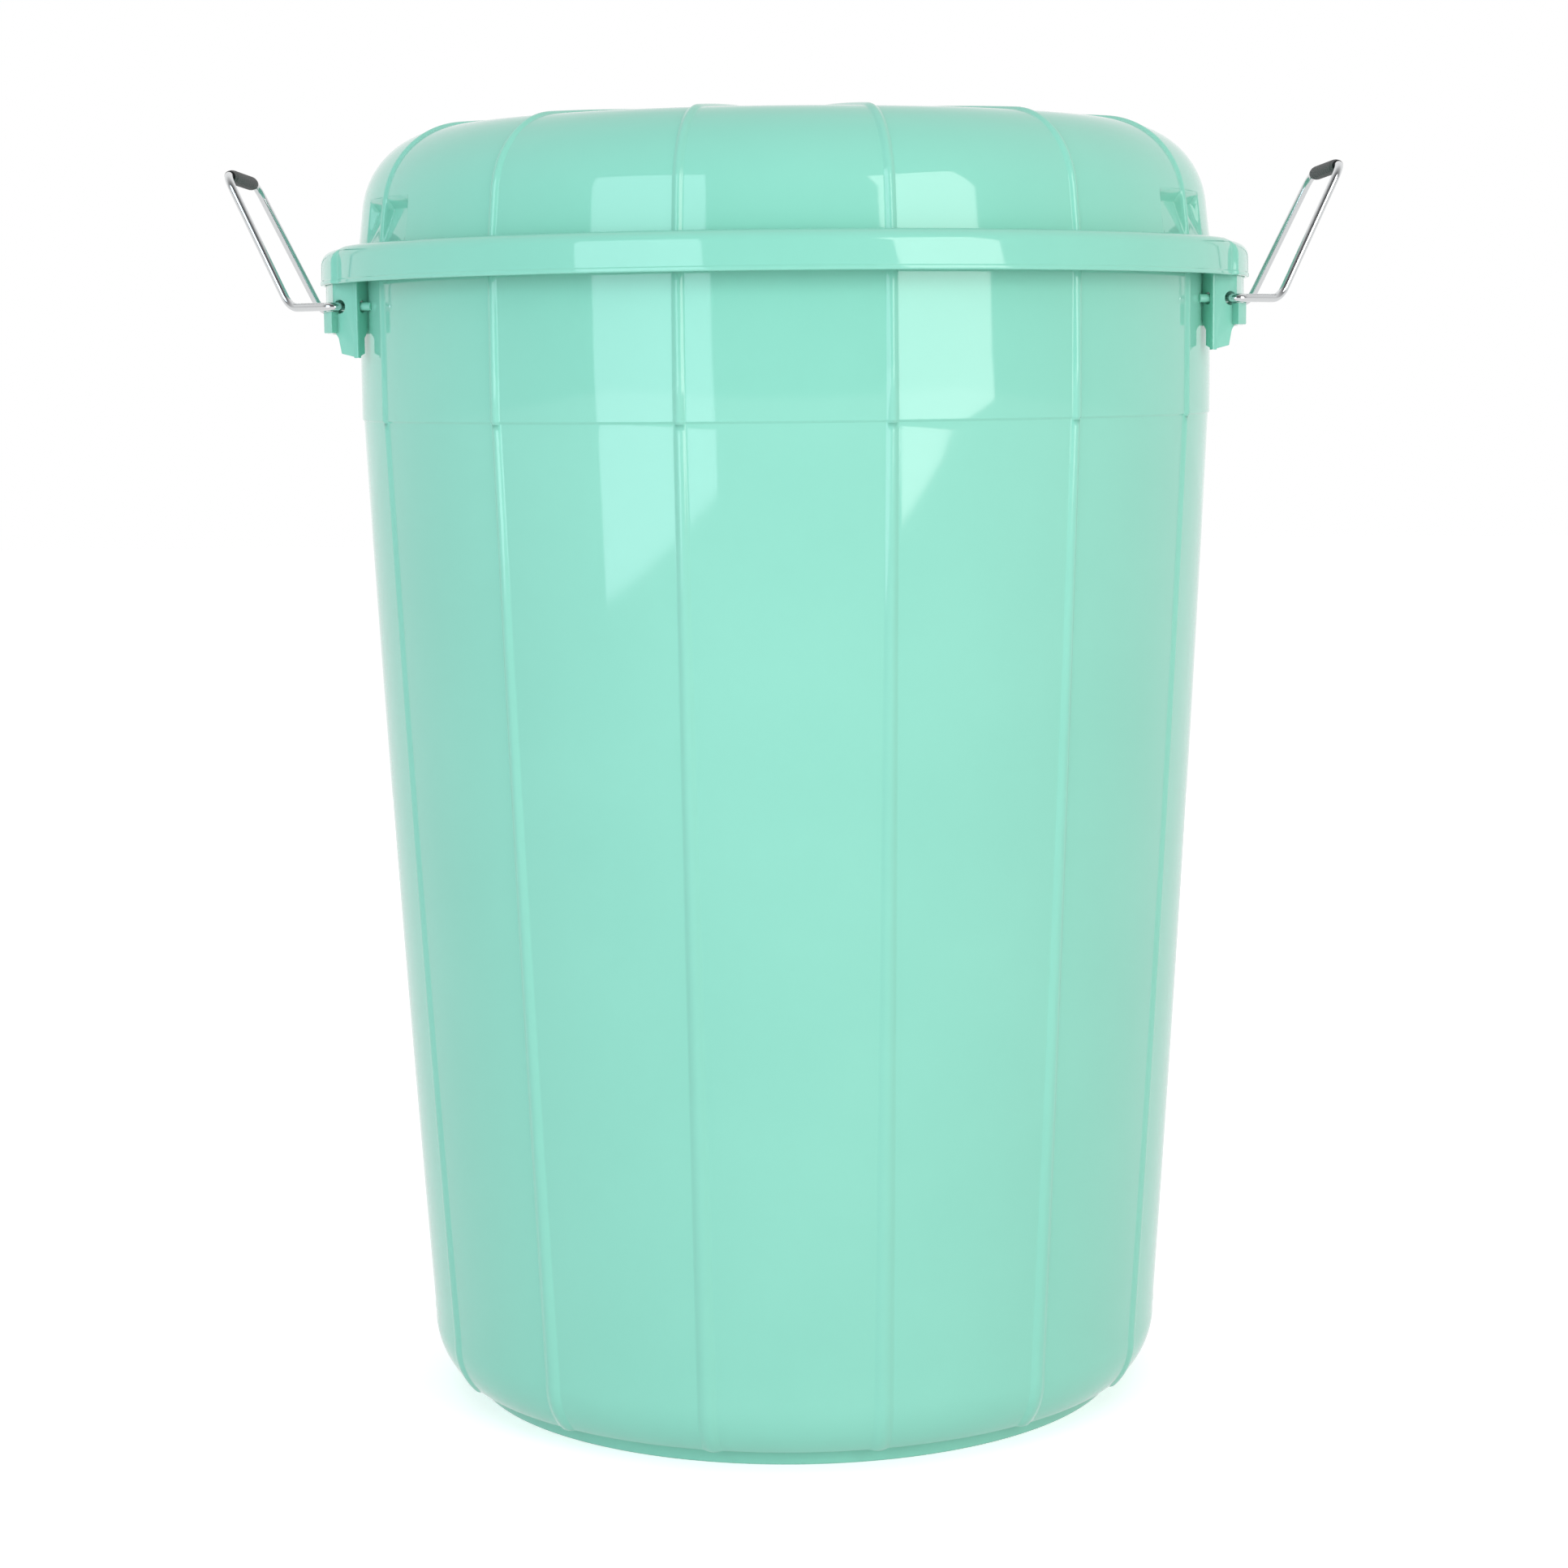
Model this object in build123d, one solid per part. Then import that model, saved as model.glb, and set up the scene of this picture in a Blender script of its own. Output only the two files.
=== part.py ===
from build123d import *
import math
import os

# Plastic storage drum with a lift-off domed lid and two wire bail handles.
# Millimetres, +Z up, origin at the centre of the foot ring where it stands.
# The handles are on the X axis and the front of the drum faces -Y.

# Drum wall
wall = 2.6                   # moulded wall of the drum
foot_inset = 10.3            # foot ring inside the panels' lower edge
foot_wall = 4.0              # thickness of the foot ring
foot_height = 9.6            # floor underside above the ground
floor_thickness = 3.0
edge_inset = 9.9             # lower edge of the panels, inside the corner's top
corner_height = 36.0
corner_bulge = 3.0           # how far the corner arc stands off its chord
step_radius = 211.5          # wall radius just under the step line
taper = 25.3                 # the wall is this much narrower above the lower corner
wall_bulge = 1.2             # how far the long wall arc stands off its chord
band_step = 0.8              # upper band stands this much proud of the wall
rim_height = 571.5           # top of the drum's own rim, hidden by the lid
band_height = 79.5           # step line below the rim
rim_lip = 4.5                # how far the rim's bead stands out
rim_lip_depth = 5.0

# Ribs, one pair on the handle axis
rib_count = 14
rib_height = 1.5
rib_width_top = 5.0
rib_width_bottom = 9.4
rib_overhang = 0.9           # rib tips reach this far below the panels

# Lid
lid_wall = 2.0
lid_seat_gap = 0.3           # free height between rim and lid
flange_reach = 15.7          # flange's edge outside the drum's upper band
flange_depth = 18.0          # height of the rim skirt
flange_round = 8.0           # rounding of the flange's upper corner
shelf_width = 16.0           # flat of the flange outside the dome
dome_height = 63.9           # crown above the flange's top face
dome_draft = 6.6             # lean of the dome wall, degrees
crown_rise = 10.4            # how far the crown domes up over the whole top
shoulder_radius = 42.0
lid_rib_width = 4.6
lid_rib_height = 1.3
disc_radius = 46.0           # plain disc in the middle, where the ribs end
disc_height = 1.3
spigot_gap = 1.2             # free space between the centring ring and the rim
spigot_wall = 2.0
spigot_depth = 11.0

# Skirt bulges over the handle brackets
bulge_angle = 20.0           # half width of a bulge, degrees
bulge_step = 2.8
bulge_drop = 1.2             # the bulge's top lies lower than the flange
bulge_skirt = 1.6            # skirt wall there

# Finger recesses in the dome, one on each rib beside the handles
recess_angle = 7.2           # half width, degrees
recess_height = 16.0         # flange top to the ceiling's inner edge
recess_depth = 4.4
recess_ceiling = 5.0         # height of the sloped ceiling

# Handle brackets
bracket_gap = 0.6            # free space between bracket and skirt
bracket_wall = 2.6
bracket_top_gap = 5.5        # bracket top below the rim
bracket_drop = 12.6          # bracket bottom below the handle's pivot
bracket_root_angle = 18.5    # half angle where an end plate meets the wall
bracket_ridge_angle = 20.3   # half angle to the ridge of an end plate
bracket_ridge_reach = 6.8    # ridge outside the drum's upper band
bracket_edge_angle = 17.6    # half angle to the outer edge of an end plate
tongue_length = 9.9          # tongue below the bracket's bottom
tongue_slant = 2.1           # tip of the tongue below its corners
tongue_width = 10.0
tongue_inner = 6.2
hole_diameter = 6.4
hole_from_edge = 3.6         # hole centre from the plate's outer edge
pivot_drop = 24.1            # handle's pivot below the rim
peg_diameter = 4.0
peg_clearance = 0.8
ledge_gap = 0.2              # free height under the resting wire
ledge_reach = 5.0

# Wire handle
wire_diameter = 4.0
tail_length = 8.0            # wire end inside the bracket
stand_off = 5.6              # bend of the wire in front of the end plate
elbow_reach = 12.4           # elbow outside the bracket's outer wall
elbow_inset = 15.1           # elbow nearer the middle than the plate's edge
leg_angle = 64.7             # legs above the horizontal
leg_length = 71.3
leg_inset = 8.6              # the legs draw in towards the crossbar
eye_bend = 4.0
elbow_bend = 9.0
corner_bend = 9.0

# Grip
grip_room = 1.4              # free wire at each end of the grip
grip_diameter = 6.9
grip_end_diameter = 5.6
grip_taper = 9.0
grip_clearance = 0.10

# Worked out from the sizes above
deep = 60.0                  # long enough to cut through any wall here
rib_step = 360.0 / rib_count
band_radius = step_radius + band_step
corner_radius_out = step_radius - taper
edge_radius = corner_radius_out - edge_inset
foot_radius = edge_radius - foot_inset
step_height = rim_height - band_height
pivot_height = rim_height - pivot_drop
bracket_bottom = pivot_height - bracket_drop
tongue_bottom = bracket_bottom - tongue_length
tongue_tip = tongue_bottom - tongue_slant
flange_radius = band_radius + flange_reach
dome_radius = flange_radius - shelf_width
flange_top = rim_height + lid_seat_gap + lid_wall + 2.4
flange_bottom = flange_top - flange_depth
wire_radius = wire_diameter / 2


def turned(solid, angle):
    return solid.rotate(Axis.Z, angle)


def bulged(start, end, bulge):
    """An arc from start to end that stands off its chord, on the outside of the drum."""
    run_r = end[0] - start[0]
    run_z = end[1] - start[1]
    chord = math.hypot(run_r, run_z)
    middle = (
        (start[0] + end[0]) / 2 + bulge * run_z / chord,
        (start[1] + end[1]) / 2 - bulge * run_r / chord,
    )
    return ThreePointArc((start[0], 0, start[1]), (middle[0], 0, middle[1]), (end[0], 0, end[1]))


def run(*points):
    """Straight edges through (radius, height) points."""
    return Polyline(*[(point[0], 0, point[1]) for point in points])


def spun(*edges, angle=360.0):
    """A solid turned about Z from a closed outline in the XZ plane."""
    face = make_face(Wire(edges))
    return revolve(face, Axis.Z, revolution_arc=angle)


def drum_body(grow, bottom):
    """The drum's outside as a full solid, grown outwards by grow."""
    edge = (edge_radius + grow, bottom)
    corner = (corner_radius_out + grow, corner_height)
    step = (step_radius + grow, step_height)
    band = (band_radius + grow, step_height + band_step)
    top = (band_radius + grow, rim_height)
    return spun(
        run((0, bottom), edge).edge(),
        bulged(edge, corner, corner_bulge),
        bulged(corner, step, wall_bulge),
        *run(step, band, top, (0, rim_height), (0, bottom)).edges(),
    )


def drum_cavity():
    """The inside of the drum, open through the rim."""
    floor = foot_height + floor_thickness
    edge = (edge_radius - wall, floor)
    corner = (corner_radius_out - wall, corner_height)
    step = (step_radius - wall, step_height)
    band = (band_radius - wall, step_height + band_step)
    above = rim_height + deep
    return spun(
        run((0, floor), edge).edge(),
        bulged(edge, corner, corner_bulge),
        bulged(corner, step, wall_bulge),
        *run(step, band, (band_radius - wall, above), (0, above), (0, floor)).edges(),
    )


def ring(inner, outer, bottom, top):
    """A plain ring about Z."""
    return spun(*run((inner, bottom), (outer, bottom), (outer, top), (inner, top), (inner, bottom)).edges())


def drum_rib():
    """One tapered rib on +X with a rounded lower tip, set into the wall."""
    low = foot_height - rib_overhang
    high = rim_height - rim_lip_depth
    half_low = rib_width_bottom / 2
    half_high = rib_width_top / 2
    tip = low + half_low
    outline = Wire([
        Line((-half_low, tip), (-half_high, high)),
        Line((-half_high, high), (half_high, high)),
        Line((half_high, high), (half_low, tip)),
        ThreePointArc((half_low, tip), (0, low), (-half_low, tip)),
    ])
    side = Plane(origin=(edge_radius - deep, 0, 0), x_dir=(0, 1, 0), z_dir=(1, 0, 0))
    slab = extrude(side * make_face(outline), 2 * deep + step_radius - edge_radius)
    skin = drum_body(rib_height, low) - drum_body(-wall / 2, low - 1)
    return slab & skin


def plate(corner, towards, outline, thickness, inward):
    """An upright plate: outline holds (distance, height) points along corner to towards."""
    direction = (Vector(*towards) - Vector(*corner)).normalized()
    side = Plane(
        origin=(corner[0], corner[1], 0),
        x_dir=(direction.X, direction.Y, 0),
        z_dir=Vector(direction.X, direction.Y, 0).cross(Vector(0, 0, 1)),
    )
    face = side * make_face(Polyline(*outline, close=True))
    return extrude(face, thickness, dir=inward)


def plan(radius, angle):
    """A point of the plan on the near side of the handle axis."""
    return radius * math.cos(math.radians(angle)), -radius * math.sin(math.radians(angle))


class Bracket:
    """The plan of one bracket end, on the +X side and towards -Y."""

    outer = flange_radius + bulge_step - bulge_skirt - bracket_gap
    root = plan(band_radius, bracket_root_angle)
    ridge = plan(band_radius + bracket_ridge_reach, bracket_ridge_angle)
    edge = plan(outer, bracket_edge_angle)
    top = rim_height - bracket_top_gap


def unit(start, end):
    return (Vector(*end) - Vector(*start)).normalized()


along = unit(Bracket.ridge, Bracket.edge)
outward = Vector(along.Y, -along.X, 0)
plate_length = (Vector(*Bracket.edge) - Vector(*Bracket.ridge)).length
hole_face = Vector(*Bracket.edge) - along * hole_from_edge
hole_centre = hole_face - outward * (bracket_wall / 2)
pivot_x = hole_centre.X
elbow_x = Bracket.outer + elbow_reach
elbow_y = -Bracket.edge[1] - elbow_inset
grip_bar = elbow_y - leg_inset
grip_length = 2 * (grip_bar - corner_bend - grip_room)


def bracket_end():
    """The end plate towards -Y: an outer face with the wire's hole, a ridge and an inner face."""
    top = Bracket.top
    inner_length = (Vector(*Bracket.root) - Vector(*Bracket.ridge)).length
    outer_face = plate(
        Bracket.ridge,
        Bracket.edge,
        [
            (0, tongue_tip),
            (tongue_width, tongue_bottom),
            (tongue_width, bracket_bottom),
            (plate_length, bracket_bottom),
            (plate_length, top),
            (0, top),
        ],
        bracket_wall,
        -outward,
    )
    inward = unit(Bracket.ridge, Bracket.root)
    inner_normal = Vector(-inward.Y, inward.X, 0)
    if inner_normal.X < 0:
        inner_normal = -inner_normal
    into_wall = inner_length + wall
    inner_face = plate(
        Bracket.ridge,
        Bracket.root,
        [
            (0, tongue_tip),
            (tongue_inner, tongue_bottom),
            (tongue_inner, bracket_bottom - bracket_wall),
            (into_wall, bracket_bottom + bracket_wall),
            (into_wall, top),
            (0, top),
        ],
        bracket_wall,
        inner_normal,
    )
    return outer_face + inner_face


def bracket_hole():
    """The wire's hole, long enough to clear the wire's end inside the bracket."""
    mouth = hole_face + outward * (bracket_wall / 2)
    length = 2 * bracket_wall + tail_length
    hole = Cylinder(hole_diameter / 2, length, align=(Align.CENTER, Align.CENTER, Align.MIN))
    return Plane(origin=(mouth.X, mouth.Y, pivot_height), z_dir=-outward) * hole


def bracket_peg():
    """A short round peg that stands on the drum wall and reaches into the inner face."""
    middle = (Vector(*Bracket.root) + Vector(*Bracket.ridge)) / 2
    inward = unit(Bracket.ridge, Bracket.root)
    direction = Vector(inward.Y, -inward.X, 0)
    if direction.X > 0:
        direction = -direction
    reach = 4 * bracket_wall
    peg_plane = Plane(origin=(middle.X, middle.Y, pivot_height), z_dir=direction)
    peg = peg_plane * Cylinder(peg_diameter / 2, reach)
    clearance = peg_plane * Cylinder(peg_diameter / 2 + peg_clearance, reach)
    return peg, clearance


def ledge():
    """The block under the wire beside its hole, which the resting handle lies on."""
    top = pivot_height - wire_radius - ledge_gap
    start = Vector(*Bracket.edge) - along * bracket_wall
    out = start + outward * ledge_reach
    far = out + Vector(0.5, 0.86, 0) * (2 * ledge_reach)
    back_angle = math.radians(bracket_edge_angle - ledge_reach / 2)
    back_radius = Bracket.outer - bracket_wall / 2
    back = Vector(back_radius * math.cos(back_angle), -back_radius * math.sin(back_angle))
    inside = start - outward * (bracket_wall / 2)
    outline = Polyline(
        *[(point.X, point.Y, bracket_bottom) for point in (inside, out, far, back)],
        close=True,
    )
    return extrude(make_face(outline), top - bracket_bottom, dir=(0, 0, 1))


def bracket():
    """One whole bracket on +X: outer wall, top and both ends."""
    span = 2 * bracket_edge_angle
    top = Bracket.top
    shell = ring(Bracket.outer - bracket_wall, Bracket.outer, bracket_bottom, top)
    roof = ring(band_radius - wall / 2, Bracket.outer, top - bracket_wall, top)
    sector = spun(
        *run((0, 0), (2 * flange_radius, 0), (2 * flange_radius, flange_top), (0, flange_top), (0, 0)).edges(),
        angle=span,
    )
    sector = turned(sector, -span / 2)
    body = (shell + roof) & sector
    roof_end = extrude(
        make_face(Polyline(
            (Bracket.root[0] - wall, Bracket.root[1] + wall, top),
            (Bracket.root[0], Bracket.root[1], top),
            (Bracket.ridge[0], Bracket.ridge[1], top),
            (Bracket.edge[0], Bracket.edge[1], top),
            (Bracket.edge[0] - wall, 0, top),
            (band_radius - wall / 2, 0, top),
            close=True,
        )),
        bracket_wall,
        dir=(0, 0, -1),
    )
    end = bracket_end() + ledge() + roof_end
    peg, clearance = bracket_peg()
    end = end - clearance + peg
    hole = bracket_hole()
    return body + end + end.mirror(Plane.XZ) - hole - hole.mirror(Plane.XZ)


def drum_shell():
    body = drum_body(0, foot_height)
    body += ring(band_radius - wall, band_radius + rim_lip, rim_height - rim_lip_depth, rim_height)
    body += ring(foot_radius - foot_wall, foot_radius, 0, foot_height + floor_thickness / 2)
    rib = drum_rib()
    body += [turned(rib, number * rib_step) for number in range(rib_count)]
    right = bracket()
    body += [right, turned(right, 180)]
    return body - drum_cavity()


def lid_outline(shrink):
    """Edges of the dome section from the flange up to the axis, moved in by shrink."""
    foot = (dome_radius - shrink, flange_top)
    lean = math.tan(math.radians(dome_draft))
    peak = flange_top + dome_height - shrink
    corner_z = peak - crown_rise
    corner = (dome_radius - shrink - lean * (corner_z - flange_top), corner_z)
    return foot, corner, peak


def dome(shrink, bottom):
    """The dome as a full solid: drafted wall, rounded shoulder and a gently domed crown."""
    foot, corner, peak = lid_outline(shrink)
    half = corner[0] / 2
    sphere = (corner[0] ** 2 + crown_rise ** 2) / (2 * crown_rise)
    middle_z = peak - sphere + math.sqrt(sphere ** 2 - half ** 2)
    crown = ThreePointArc((corner[0], 0, corner[1]), (half, 0, middle_z), (0, 0, peak))
    solid = spun(
        *run((0, bottom), (foot[0], bottom), foot, corner).edges(),
        crown,
        run((0, peak), (0, bottom)).edge(),
    )
    shoulder = solid.edges().filter_by(GeomType.CIRCLE).sort_by(lambda edge: -edge.center().Z)
    rim_edges = [edge for edge in shoulder if abs(edge.center().Z - corner[1]) < 0.01]
    return fillet(rim_edges, shoulder_radius - shrink)


def flange_solid(radius, top, bottom, rounding, inner):
    """A flange ring with a rounded upper corner, filled down to its lower edge."""
    return spun(
        *run((inner, bottom), (radius, bottom), (radius, top - rounding)).edges(),
        ThreePointArc(
            (radius, 0, top - rounding),
            (radius - rounding * (1 - math.sqrt(0.5)), 0, top - rounding * (1 - math.sqrt(0.5))),
            (radius - rounding, 0, top),
        ),
        *run((radius - rounding, top), (inner, top), (inner, bottom)).edges(),
    )


def sector_of(solid, half_angle):
    """The part of a solid of revolution that lies within half_angle of +X."""
    wedge = spun(
        *run((0, 0), (2 * flange_radius, 0), (2 * flange_radius, 2 * flange_top), (0, 2 * flange_top), (0, 0)).edges(),
        angle=2 * half_angle,
    )
    return solid & turned(wedge, -half_angle)


def recess_tool(grow, side):
    """The space of one finger recess, grown on its inside by grow, about +X."""
    low = flange_top + 0.2
    ceiling = flange_top + recess_height
    lean = math.tan(math.radians(dome_draft))
    wall_low = dome_radius - lean * (low - flange_top)
    wall_high = dome_radius - lean * recess_height
    back = (wall_high - recess_depth - grow, ceiling + grow / 2)
    mouth = (wall_high + rib_height, ceiling + recess_ceiling + grow)
    outer = dome_radius + deep / 4
    tool = spun(
        *run((wall_low - 0.4 - grow, low), back, mouth, (outer, mouth[1]), (outer, low),
             (wall_low - 0.4 - grow, low)).edges(),
        angle=2 * side,
    )
    return turned(tool, -side)


def lid():
    inside = dome(lid_wall, flange_bottom - 1)
    body = dome(0, flange_top - lid_wall - 2.4)
    body += flange_solid(flange_radius, flange_top, flange_bottom, flange_round, dome_radius - lid_wall)
    bulge = flange_solid(
        flange_radius + bulge_step, flange_top - bulge_drop, flange_bottom, flange_round, dome_radius
    )
    bulge = sector_of(bulge, bulge_angle)
    body += [bulge, turned(bulge, 180)]

    skin = dome(-lid_rib_height, flange_top - 0.5) - dome(lid_wall / 2, flange_top - 1)
    slab = Pos(disc_radius / 2 + flange_radius / 2, 0, flange_top + deep) * Box(
        flange_radius - disc_radius + 4, lid_rib_width, 2 * deep
    )
    rib = slab & skin
    disc_skin = dome(-disc_height, flange_top - 0.5) - dome(lid_wall / 2, flange_top - 1)
    disc = disc_skin & (Pos(0, 0, flange_top + deep) * Cylinder(disc_radius, 2 * deep))
    ribs = [turned(rib, number * rib_step) for number in range(rib_count)]
    body += ribs + [disc]

    under = flange_top - lid_wall
    hollow = flange_solid(
        flange_radius - lid_wall, under, flange_bottom - 1, flange_round - lid_wall,
        band_radius - wall - spigot_gap,
    )
    bulge_hollow = flange_solid(
        flange_radius + bulge_step - bulge_skirt, under - bulge_drop, flange_bottom - 1,
        flange_round - bulge_skirt, dome_radius,
    )
    bulge_hollow = sector_of(bulge_hollow, bulge_angle - 0.5)
    seat = ring(
        band_radius - wall - spigot_gap, flange_radius - flange_round,
        rim_height + lid_seat_gap, flange_top - lid_wall / 2,
    )
    spigot_outer = band_radius - wall - spigot_gap
    spigot = ring(
        spigot_outer - spigot_wall, spigot_outer, rim_height - spigot_depth, flange_top - lid_wall / 2
    )

    recess = recess_tool(0, recess_angle)
    standing = (Pos(dome_radius, 0, flange_top) * Box(deep, lid_rib_width, 2 * deep)) & (
        dome(recess_depth - lid_rib_height, flange_bottom)
    )
    recess -= standing
    lining = recess_tool(lid_wall, recess_angle + math.degrees(lid_wall / dome_radius))
    places = [rib_step, -rib_step, 180 + rib_step, 180 - rib_step]
    for place in places:
        inside -= turned(lining, place)
    body = body - inside - hollow - bulge_hollow - turned(bulge_hollow, 180)
    body += [seat, spigot]
    body -= [turned(recess, place) for place in places]
    return body


def handle_points():
    """Corner points of the wire of the right-hand handle, from the near end to the far end."""
    bend = hole_face + outward * stand_off
    tail = hole_face - outward * (bracket_wall + tail_length)
    leg_x = elbow_x + leg_length * math.cos(math.radians(leg_angle))
    leg_z = pivot_height + leg_length * math.sin(math.radians(leg_angle))
    near = [
        (tail.X, tail.Y, pivot_height),
        (bend.X, bend.Y, pivot_height),
        (elbow_x, -elbow_y, pivot_height),
        (leg_x, -grip_bar, leg_z),
    ]
    far = [(point[0], -point[1], point[2]) for point in reversed(near)]
    return near + far


def handle_wire():
    points = handle_points()
    radii = [eye_bend, elbow_bend, corner_bend, corner_bend, elbow_bend, eye_bend]
    path = FilletPolyline(*points, radius=radii)
    start = Plane(origin=path @ 0, z_dir=path % 0)
    return sweep(start * Circle(wire_radius), path=path)


def grip():
    """The sleeve on the crossbar: a barrel with tapered ends and a running bore."""
    half = grip_length / 2
    big = grip_diameter / 2
    small = grip_end_diameter / 2
    bore = wire_radius + grip_clearance
    outline = run(
        (bore, -half), (small, -half), (big, -half + grip_taper), (big, half - grip_taper),
        (small, half), (bore, half), (bore, -half),
    )
    sleeve = spun(*outline.edges())
    corner = handle_points()[3]
    return Pos(corner[0], 0, corner[2]) * (Rot(90, 0, 0) * sleeve)


def left(solid):
    return turned(solid, 180)


def main():
    os.makedirs("parts", exist_ok=True)
    wire = handle_wire()
    sleeve = grip()
    nodes = {
        "drum_shell": drum_shell(),
        "lid": lid(),
        "right_handle_wire": wire,
        "left_handle_wire": left(wire),
        "right_grip": sleeve,
        "left_grip": left(sleeve),
    }
    for name, solid in nodes.items():
        export_step(solid, f"parts/{name}.step")
        box = solid.bounding_box()
        print(name, len(solid.solids()), "solid", solid.is_valid, round(solid.volume), box.min, box.max)
    print("pivot", round(pivot_x, 3), "flange", round(flange_bottom, 2), round(flange_top, 2))


main()
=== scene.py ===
"""Looks of a lidded plastic storage drum with two wire bail handles.

The drum and its lid are glossy injection-moulded polypropylene, the handles are
bright plated steel wire and their grips are dark moulded sleeves. Sizes in the
classes are in millimetres and are turned to metres where a mesh is made.
"""
from __future__ import annotations

import logging
import math
from dataclasses import dataclass
from enum import Enum
from typing import Sequence

import bmesh
import bpy
from mathutils import Matrix, Vector

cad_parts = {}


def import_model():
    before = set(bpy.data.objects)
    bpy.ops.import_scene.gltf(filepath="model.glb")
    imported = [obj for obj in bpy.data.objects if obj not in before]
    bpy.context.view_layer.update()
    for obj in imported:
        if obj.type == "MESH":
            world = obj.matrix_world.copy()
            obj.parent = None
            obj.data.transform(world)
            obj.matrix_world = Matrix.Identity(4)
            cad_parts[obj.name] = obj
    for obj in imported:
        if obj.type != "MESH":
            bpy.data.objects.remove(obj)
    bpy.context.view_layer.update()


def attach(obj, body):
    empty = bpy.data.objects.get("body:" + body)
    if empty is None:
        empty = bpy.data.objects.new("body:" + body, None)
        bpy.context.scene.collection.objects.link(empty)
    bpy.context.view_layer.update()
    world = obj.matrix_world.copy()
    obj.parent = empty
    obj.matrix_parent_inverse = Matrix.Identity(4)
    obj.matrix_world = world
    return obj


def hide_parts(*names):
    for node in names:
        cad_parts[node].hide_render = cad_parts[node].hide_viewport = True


LOG = logging.getLogger("storage_drum")
MM = 0.001
# Corners nearer to each other than this are welded, in metres.
WELD_GAP = 0.004 * MM
FINE_GAP = 0.002 * MM
# Degrees over which a recess or a bulge begins and ends.
STEP_WIDTH = 0.7
# The drum and the lid repeat with their ribs, in panels of this half width in degrees.
RIBS = 14
HALF_PANEL = 180 / RIBS
# Degrees between the columns of points away from the ribs.
COARSE_SPACING = 1.3
# A flatter corner stays as it is, and a rounding takes no more than this share of a run.
NEARLY_STRAIGHT = math.radians(89.8)
LONGEST_SHARE = 0.49
# Whole numbers that differ by less than this are the same to a node.
SAME_NUMBER = 0.1
WHITE = (1.0, 1.0, 1.0, 1.0)
Point = tuple[float, float]
Grid = list[list[Vector]]


class Side(Enum):
    """Which handle a piece belongs to, with its turn about the drum's axis."""

    RIGHT = 0.0
    LEFT = 180.0

    @property
    def word(self) -> str:
        """Return the side's name as the model's nodes spell it."""
        return self.name.lower()

    def turned(self, mesh: bpy.types.Mesh) -> bpy.types.Mesh:
        """Turn a mesh made for the right-hand side to this side and return it."""
        mesh.transform(Matrix.Rotation(math.radians(self.value), 4, "Z"))
        return mesh


# Shared helpers


def linear_colour(code: str) -> tuple[float, float, float, float]:
    """Turn an sRGB hex code into the linear colour that shaders expect.

    Args:
        code: Six hex digits, with or without a leading hash.

    Returns:
        Linear red, green and blue, and full opacity.
    """
    digits = code.lstrip("#")
    channels = [int(digits[start:start + 2], 16) / 255 for start in (0, 2, 4)]
    red, green, blue = (
        value / 12.92 if value <= 0.04045 else ((value + 0.055) / 1.055) ** 2.4
        for value in channels
    )
    return red, green, blue, 1.0


def feed(
    tree: bpy.types.NodeTree, node: bpy.types.Node, inputs: dict[str | int, object]
) -> None:
    """Set a node's sockets to plain values, or link them from other sockets.

    Args:
        tree: Node tree of the node.
        node: Node that gets the inputs.
        inputs: Socket name or index to a plain value, or to a socket to link from.
    """
    for key, value in inputs.items():
        if isinstance(value, bpy.types.NodeSocket):
            tree.links.new(value, node.inputs[key])
        else:
            node.inputs[key].default_value = value


def add_node(
    tree: bpy.types.NodeTree,
    kind: str,
    settings: dict[str, object] | None = None,
    inputs: dict[str | int, object] | None = None,
) -> bpy.types.Node:
    """Add one node to a tree with its settings, socket values and links.

    Args:
        tree: Node tree that gets the node.
        kind: Blender's identifier of the node type.
        settings: Attributes to set on the node.
        inputs: Socket name or index to a plain value, or to a socket to link from.

    Returns:
        The new node.
    """
    node = tree.nodes.new(kind)
    for name, value in (settings or {}).items():
        setattr(node, name, value)
    feed(tree, node, inputs or {})
    return node


def smooth(value: float) -> float:
    """Return a smooth step from 0 to 1 for a value, held outside that span."""
    held = min(1.0, max(0.0, value))
    return held * held * (3 - 2 * held)


def ring_point(radius: float, turn: float, height: float) -> Vector:
    """Return the point at a radius, an angle in radians from +X and a height."""
    return Vector((radius * math.cos(turn), radius * math.sin(turn), height))


def bulged(start: Point, end: Point, bulge: float, steps: int) -> list[Point]:
    """Sample an arc that stands off its chord, on the side away from the axis.

    Args:
        start: First point, as radius and height.
        end: Last point.
        bulge: How far the middle stands off the chord.
        steps: Number of spans.

    Returns:
        The points, both ends included.
    """
    run_r, run_z = end[0] - start[0], end[1] - start[1]
    chord = math.hypot(run_r, run_z)
    out_r, out_z = abs(run_z) / chord, -run_r * math.copysign(1, run_z) / chord
    radius = (chord ** 2 / 4 + bulge ** 2) / (2 * bulge)
    points = []
    for step in range(steps + 1):
        along = step / steps
        offset = math.sqrt(radius ** 2 - ((along - 0.5) * chord) ** 2) - (radius - bulge)
        points.append((
            start[0] + along * run_r + offset * out_r,
            start[1] + along * run_z + offset * out_z,
        ))
    return points


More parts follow.
